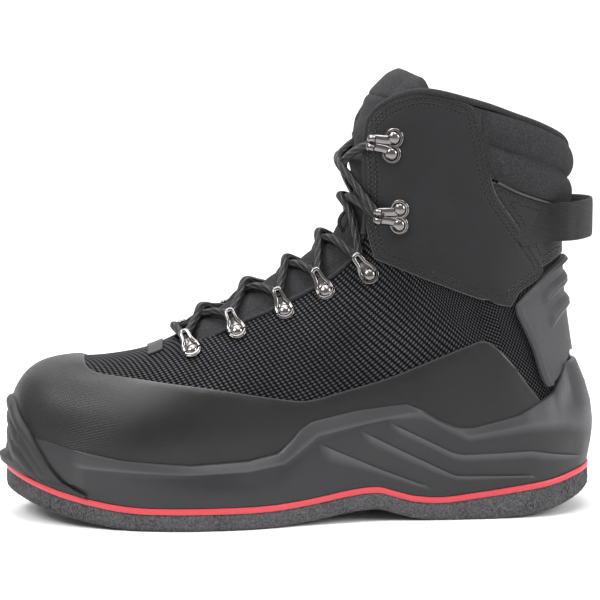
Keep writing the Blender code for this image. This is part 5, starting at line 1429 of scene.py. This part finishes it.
def build_hardware(finish):
    """Rivets with wire bows for the lower lace, and forked hooks with two rivets above them."""
    kinds = (("ring", RINGS, ring_form(), GAP), ("hook", HOOKS, hook_form(), ANKLE_THICKNESS + 2 * GAP))
    eyes = {}
    for side, where in ((-1, "outer"), (1, "inner")):
        for kind, table, form, lift in kinds:
            for number, (foot, tip) in enumerate(table, 1):
                s, girth = on_side(*foot)
                place = Vector(last_point(s, girth, side) + last_normal(s, girth, side) * lift)
                normal = Vector(last_normal(s, girth, side))
                ahead = Vector(last_point(*on_side(*tip), side)) - place
                ahead = (ahead - normal * ahead.dot(normal)).normalized()
                turn = Matrix((ahead, normal.cross(ahead), normal)).transposed().to_4x4()
                turn.translation = place
                points = [turn @ Vector(p) for p in form[0]]
                made = mesh_object(f"boot.lace_{kind}_{where}_{number}", points, form[1], finish, 50)
                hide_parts(f"lace_{kind}_{where}_{number}")
                eyes[kind, number, side] = turn @ Vector(CORD_SPOTS[kind])
    return eyes


def build_laces(finish, eyes):
    """One cord, from the top hook down through the rings, over the bottom bar and up the other side."""
    stops = [("ring", k) for k in range(1, 6)] + [("hook", k) for k in range(1, 3)]

    def leg(low, high, side, over):
        """The points between two fittings over the tongue, without the fittings themselves."""
        start, end = np.array(eyes[(*low, side)]), np.array(eyes[(*high, -side)])
        a, b = (locate([(p[0], p[2])]) for p in (start, end))
        made = []
        for share in np.linspace(0, 1, 13)[1:-1]:
            s = a[0][0] + (b[0][0] - a[0][0]) * share
            turn = -(90 - a[1][0]) + (180 - a[1][0] - b[1][0]) * share
            where = side if turn < 0 else -side
            cover = ANKLE_THICKNESS * np.clip((s - 12) / 1.5, 0, 1)
            middle = np.exp(-(((share - 0.5) / 0.16) ** 2))
            lift = CORD_DIAMETER / 2 + LACE_CLEAR + cover + middle * (CORD_DIAMETER * 0.92 * over)
            girth = 90 - abs(turn)
            laid = last_point(s, girth, where) + last_normal(s, girth, where) * lift
            hold = np.clip(1 - min(share, 1 - share) / 0.30, 0, 1) ** 1.5
            made.append(laid * (1 - hold) + (start if share < 0.5 else end) * hold)
        return [start, *made, end]

    route = []
    side = -1
    for number in range(len(stops) - 1, 0, -1):
        route += leg(stops[number - 1], stops[number], -side, number % 2)[:0:-1]
        side = -side
    bar = leg(stops[0], stops[0], side, 0.25)
    sag = [sin(pi * k / (len(bar) - 1)) for k in range(len(bar))]
    route += [np.array(p) + (-BAR_FORWARD * part, 0, -BAR_DOWN * part) for p, part in zip(bar, sag)][:-1]
    side = -side
    for number in range(1, len(stops)):
        route += leg(stops[number - 1], stops[number], side, (number + 1) % 2)[:-1]
        side = -side
    route.append(np.array(eyes[(*stops[-1], side)]))
    path = smooth_curve(np.array(route), 1500)
    lace = tube("boot.lace", path, CORD_DIAMETER / 2, finish)
    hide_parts("lace_bar", *[f"lace_crossing_{k}" for k in range(1, 7)])


# The studio's lights, aimed at a target: name, place, target, size and power
MIDDLE = (-0.11, 0.0, 0.10)
LIGHTS = (("above", (-0.20, -0.05, 1.00), MIDDLE, (1.1, 0.5), 10),
          ("front_left", (-0.85, -0.35, 0.85), MIDDLE, (0.4, 0.5), 10),
          ("front_right", (0.90, -0.60, 0.65), MIDDLE, (0.5, 0.7), 12),
          ("backdrop", (0.0, 0.5, 1.6), (0.0, 1.3, 0.3), (2.5, 0.5), 26))
AIM = (-0.1125, 0, 0.1105)
CAMERA_TURN = radians(-5)
CAMERA_TILT = radians(6.5)
CAMERA_LENS = 113.8
WORLD_STRENGTH = 0.48


def aimed_light(name, place, target, size, power):
    data = bpy.data.lights.new(name, "AREA")
    data.shape = "RECTANGLE"
    data.size, data.size_y = size
    data.energy = power
    obj = bpy.data.objects.new(name, data)
    bpy.context.scene.collection.objects.link(obj)
    obj.location = place
    obj.rotation_euler = (Vector(target) - Vector(place)).to_track_quat("-Z", "Y").to_euler()


def build_stage():
    """A pale floor, soft studio lights and the camera of the photograph."""
    floor_finish = new_finish("floor", (0.82, 0.82, 0.82), 0.6, Specular_IOR_Level=0.2)[0]
    sweep = [(-6.0, 0.0), (0.9, 0.0)]
    sweep += [(0.9 + 0.8 * sin(t), 0.8 - 0.8 * cos(t)) for t in np.linspace(0.1, pi / 2, 14)] + [(1.7, 4.0)]
    points = [(x, y, z) for y, z in sweep for x in (-6.0, 6.0)]
    faces = [(2 * k, 2 * k + 1, 2 * k + 3, 2 * k + 2) for k in range(len(sweep) - 1)]
    mesh = bpy.data.meshes.new("floor")
    mesh.from_pydata(points, [], faces)
    mesh.materials.append(floor_finish)
    mesh.shade_smooth()
    floor = bpy.data.objects.new("floor", mesh)
    bpy.context.scene.collection.objects.link(floor)
    world = bpy.data.worlds.new("studio")
    world.use_nodes = True
    world.node_tree.nodes["Background"].inputs[0].default_value = (1.0, 1.0, 1.0, 1)
    world.node_tree.nodes["Background"].inputs[1].default_value = WORLD_STRENGTH
    bpy.context.scene.world = world
    for light in LIGHTS:
        aimed_light(*light)
    target = Vector(AIM)
    turn, tilt = CAMERA_TURN, CAMERA_TILT
    data = bpy.data.cameras.new("camera")
    data.lens = CAMERA_LENS
    data.sensor_width = 36
    camera = bpy.data.objects.new("camera", data)
    bpy.context.scene.collection.objects.link(camera)
    camera.location = target + Vector((sin(turn) * cos(tilt), -cos(turn) * cos(tilt), sin(tilt)))
    camera.rotation_euler = (target - camera.location).to_track_quat("-Z", "Y").to_euler()
    bpy.context.scene.camera = camera
    bpy.context.scene.view_settings.view_transform = "Standard"


def main():
    finishes = dict(
        felt=felt_finish(), line=line_finish(), mesh=mesh_finish(), coated=coated_finish(),
        nubuck=nubuck_finish(), softshell=softshell_finish(), tongue=softshell_finish("tongue"),
        binding=softshell_finish("binding"), webbing=webbing_finish(), cord=cord_finish(),
        nickel=metal_finish(), tab=moulded_finish("tab", (0.030, 0.030, 0.032), 0.6, 1500, 0.0001),
        hem=moulded_finish("hem", (0.045, 0.045, 0.049), 0.6, 900, 0.0001),
        # The midsole's second colour is its painted highlight on the ledges, the chamfer and the rim, partly
        # also wear.
        midsole=moulded_finish("midsole", (0.0125, 0.0125, 0.0145), 0.46, 700, 0.00008,
                               (0.060, 0.060, 0.066)),
        rubber=moulded_finish("rubber", (0.011, 0.011, 0.012), 0.58, 1600, 0.00025),
        counter=moulded_finish("counter", (0.040, 0.040, 0.043), 0.55, 2000, 0.00035))
    build_upper(finishes)
    build_collar(finishes)
    build_bindings(finishes)
    build_small_trims(finishes)
    build_tongue(finishes)
    tree = build_sole(finishes)
    build_bumper(finishes, tree)
    build_loop(finishes)
    eyes = build_hardware(finishes["nickel"])
    build_laces(finishes["cord"], eyes)
    insole = nodes["insole"]
    insole.data.materials.clear()
    insole.data.materials.append(finishes["softshell"])
    build_stage()


main()
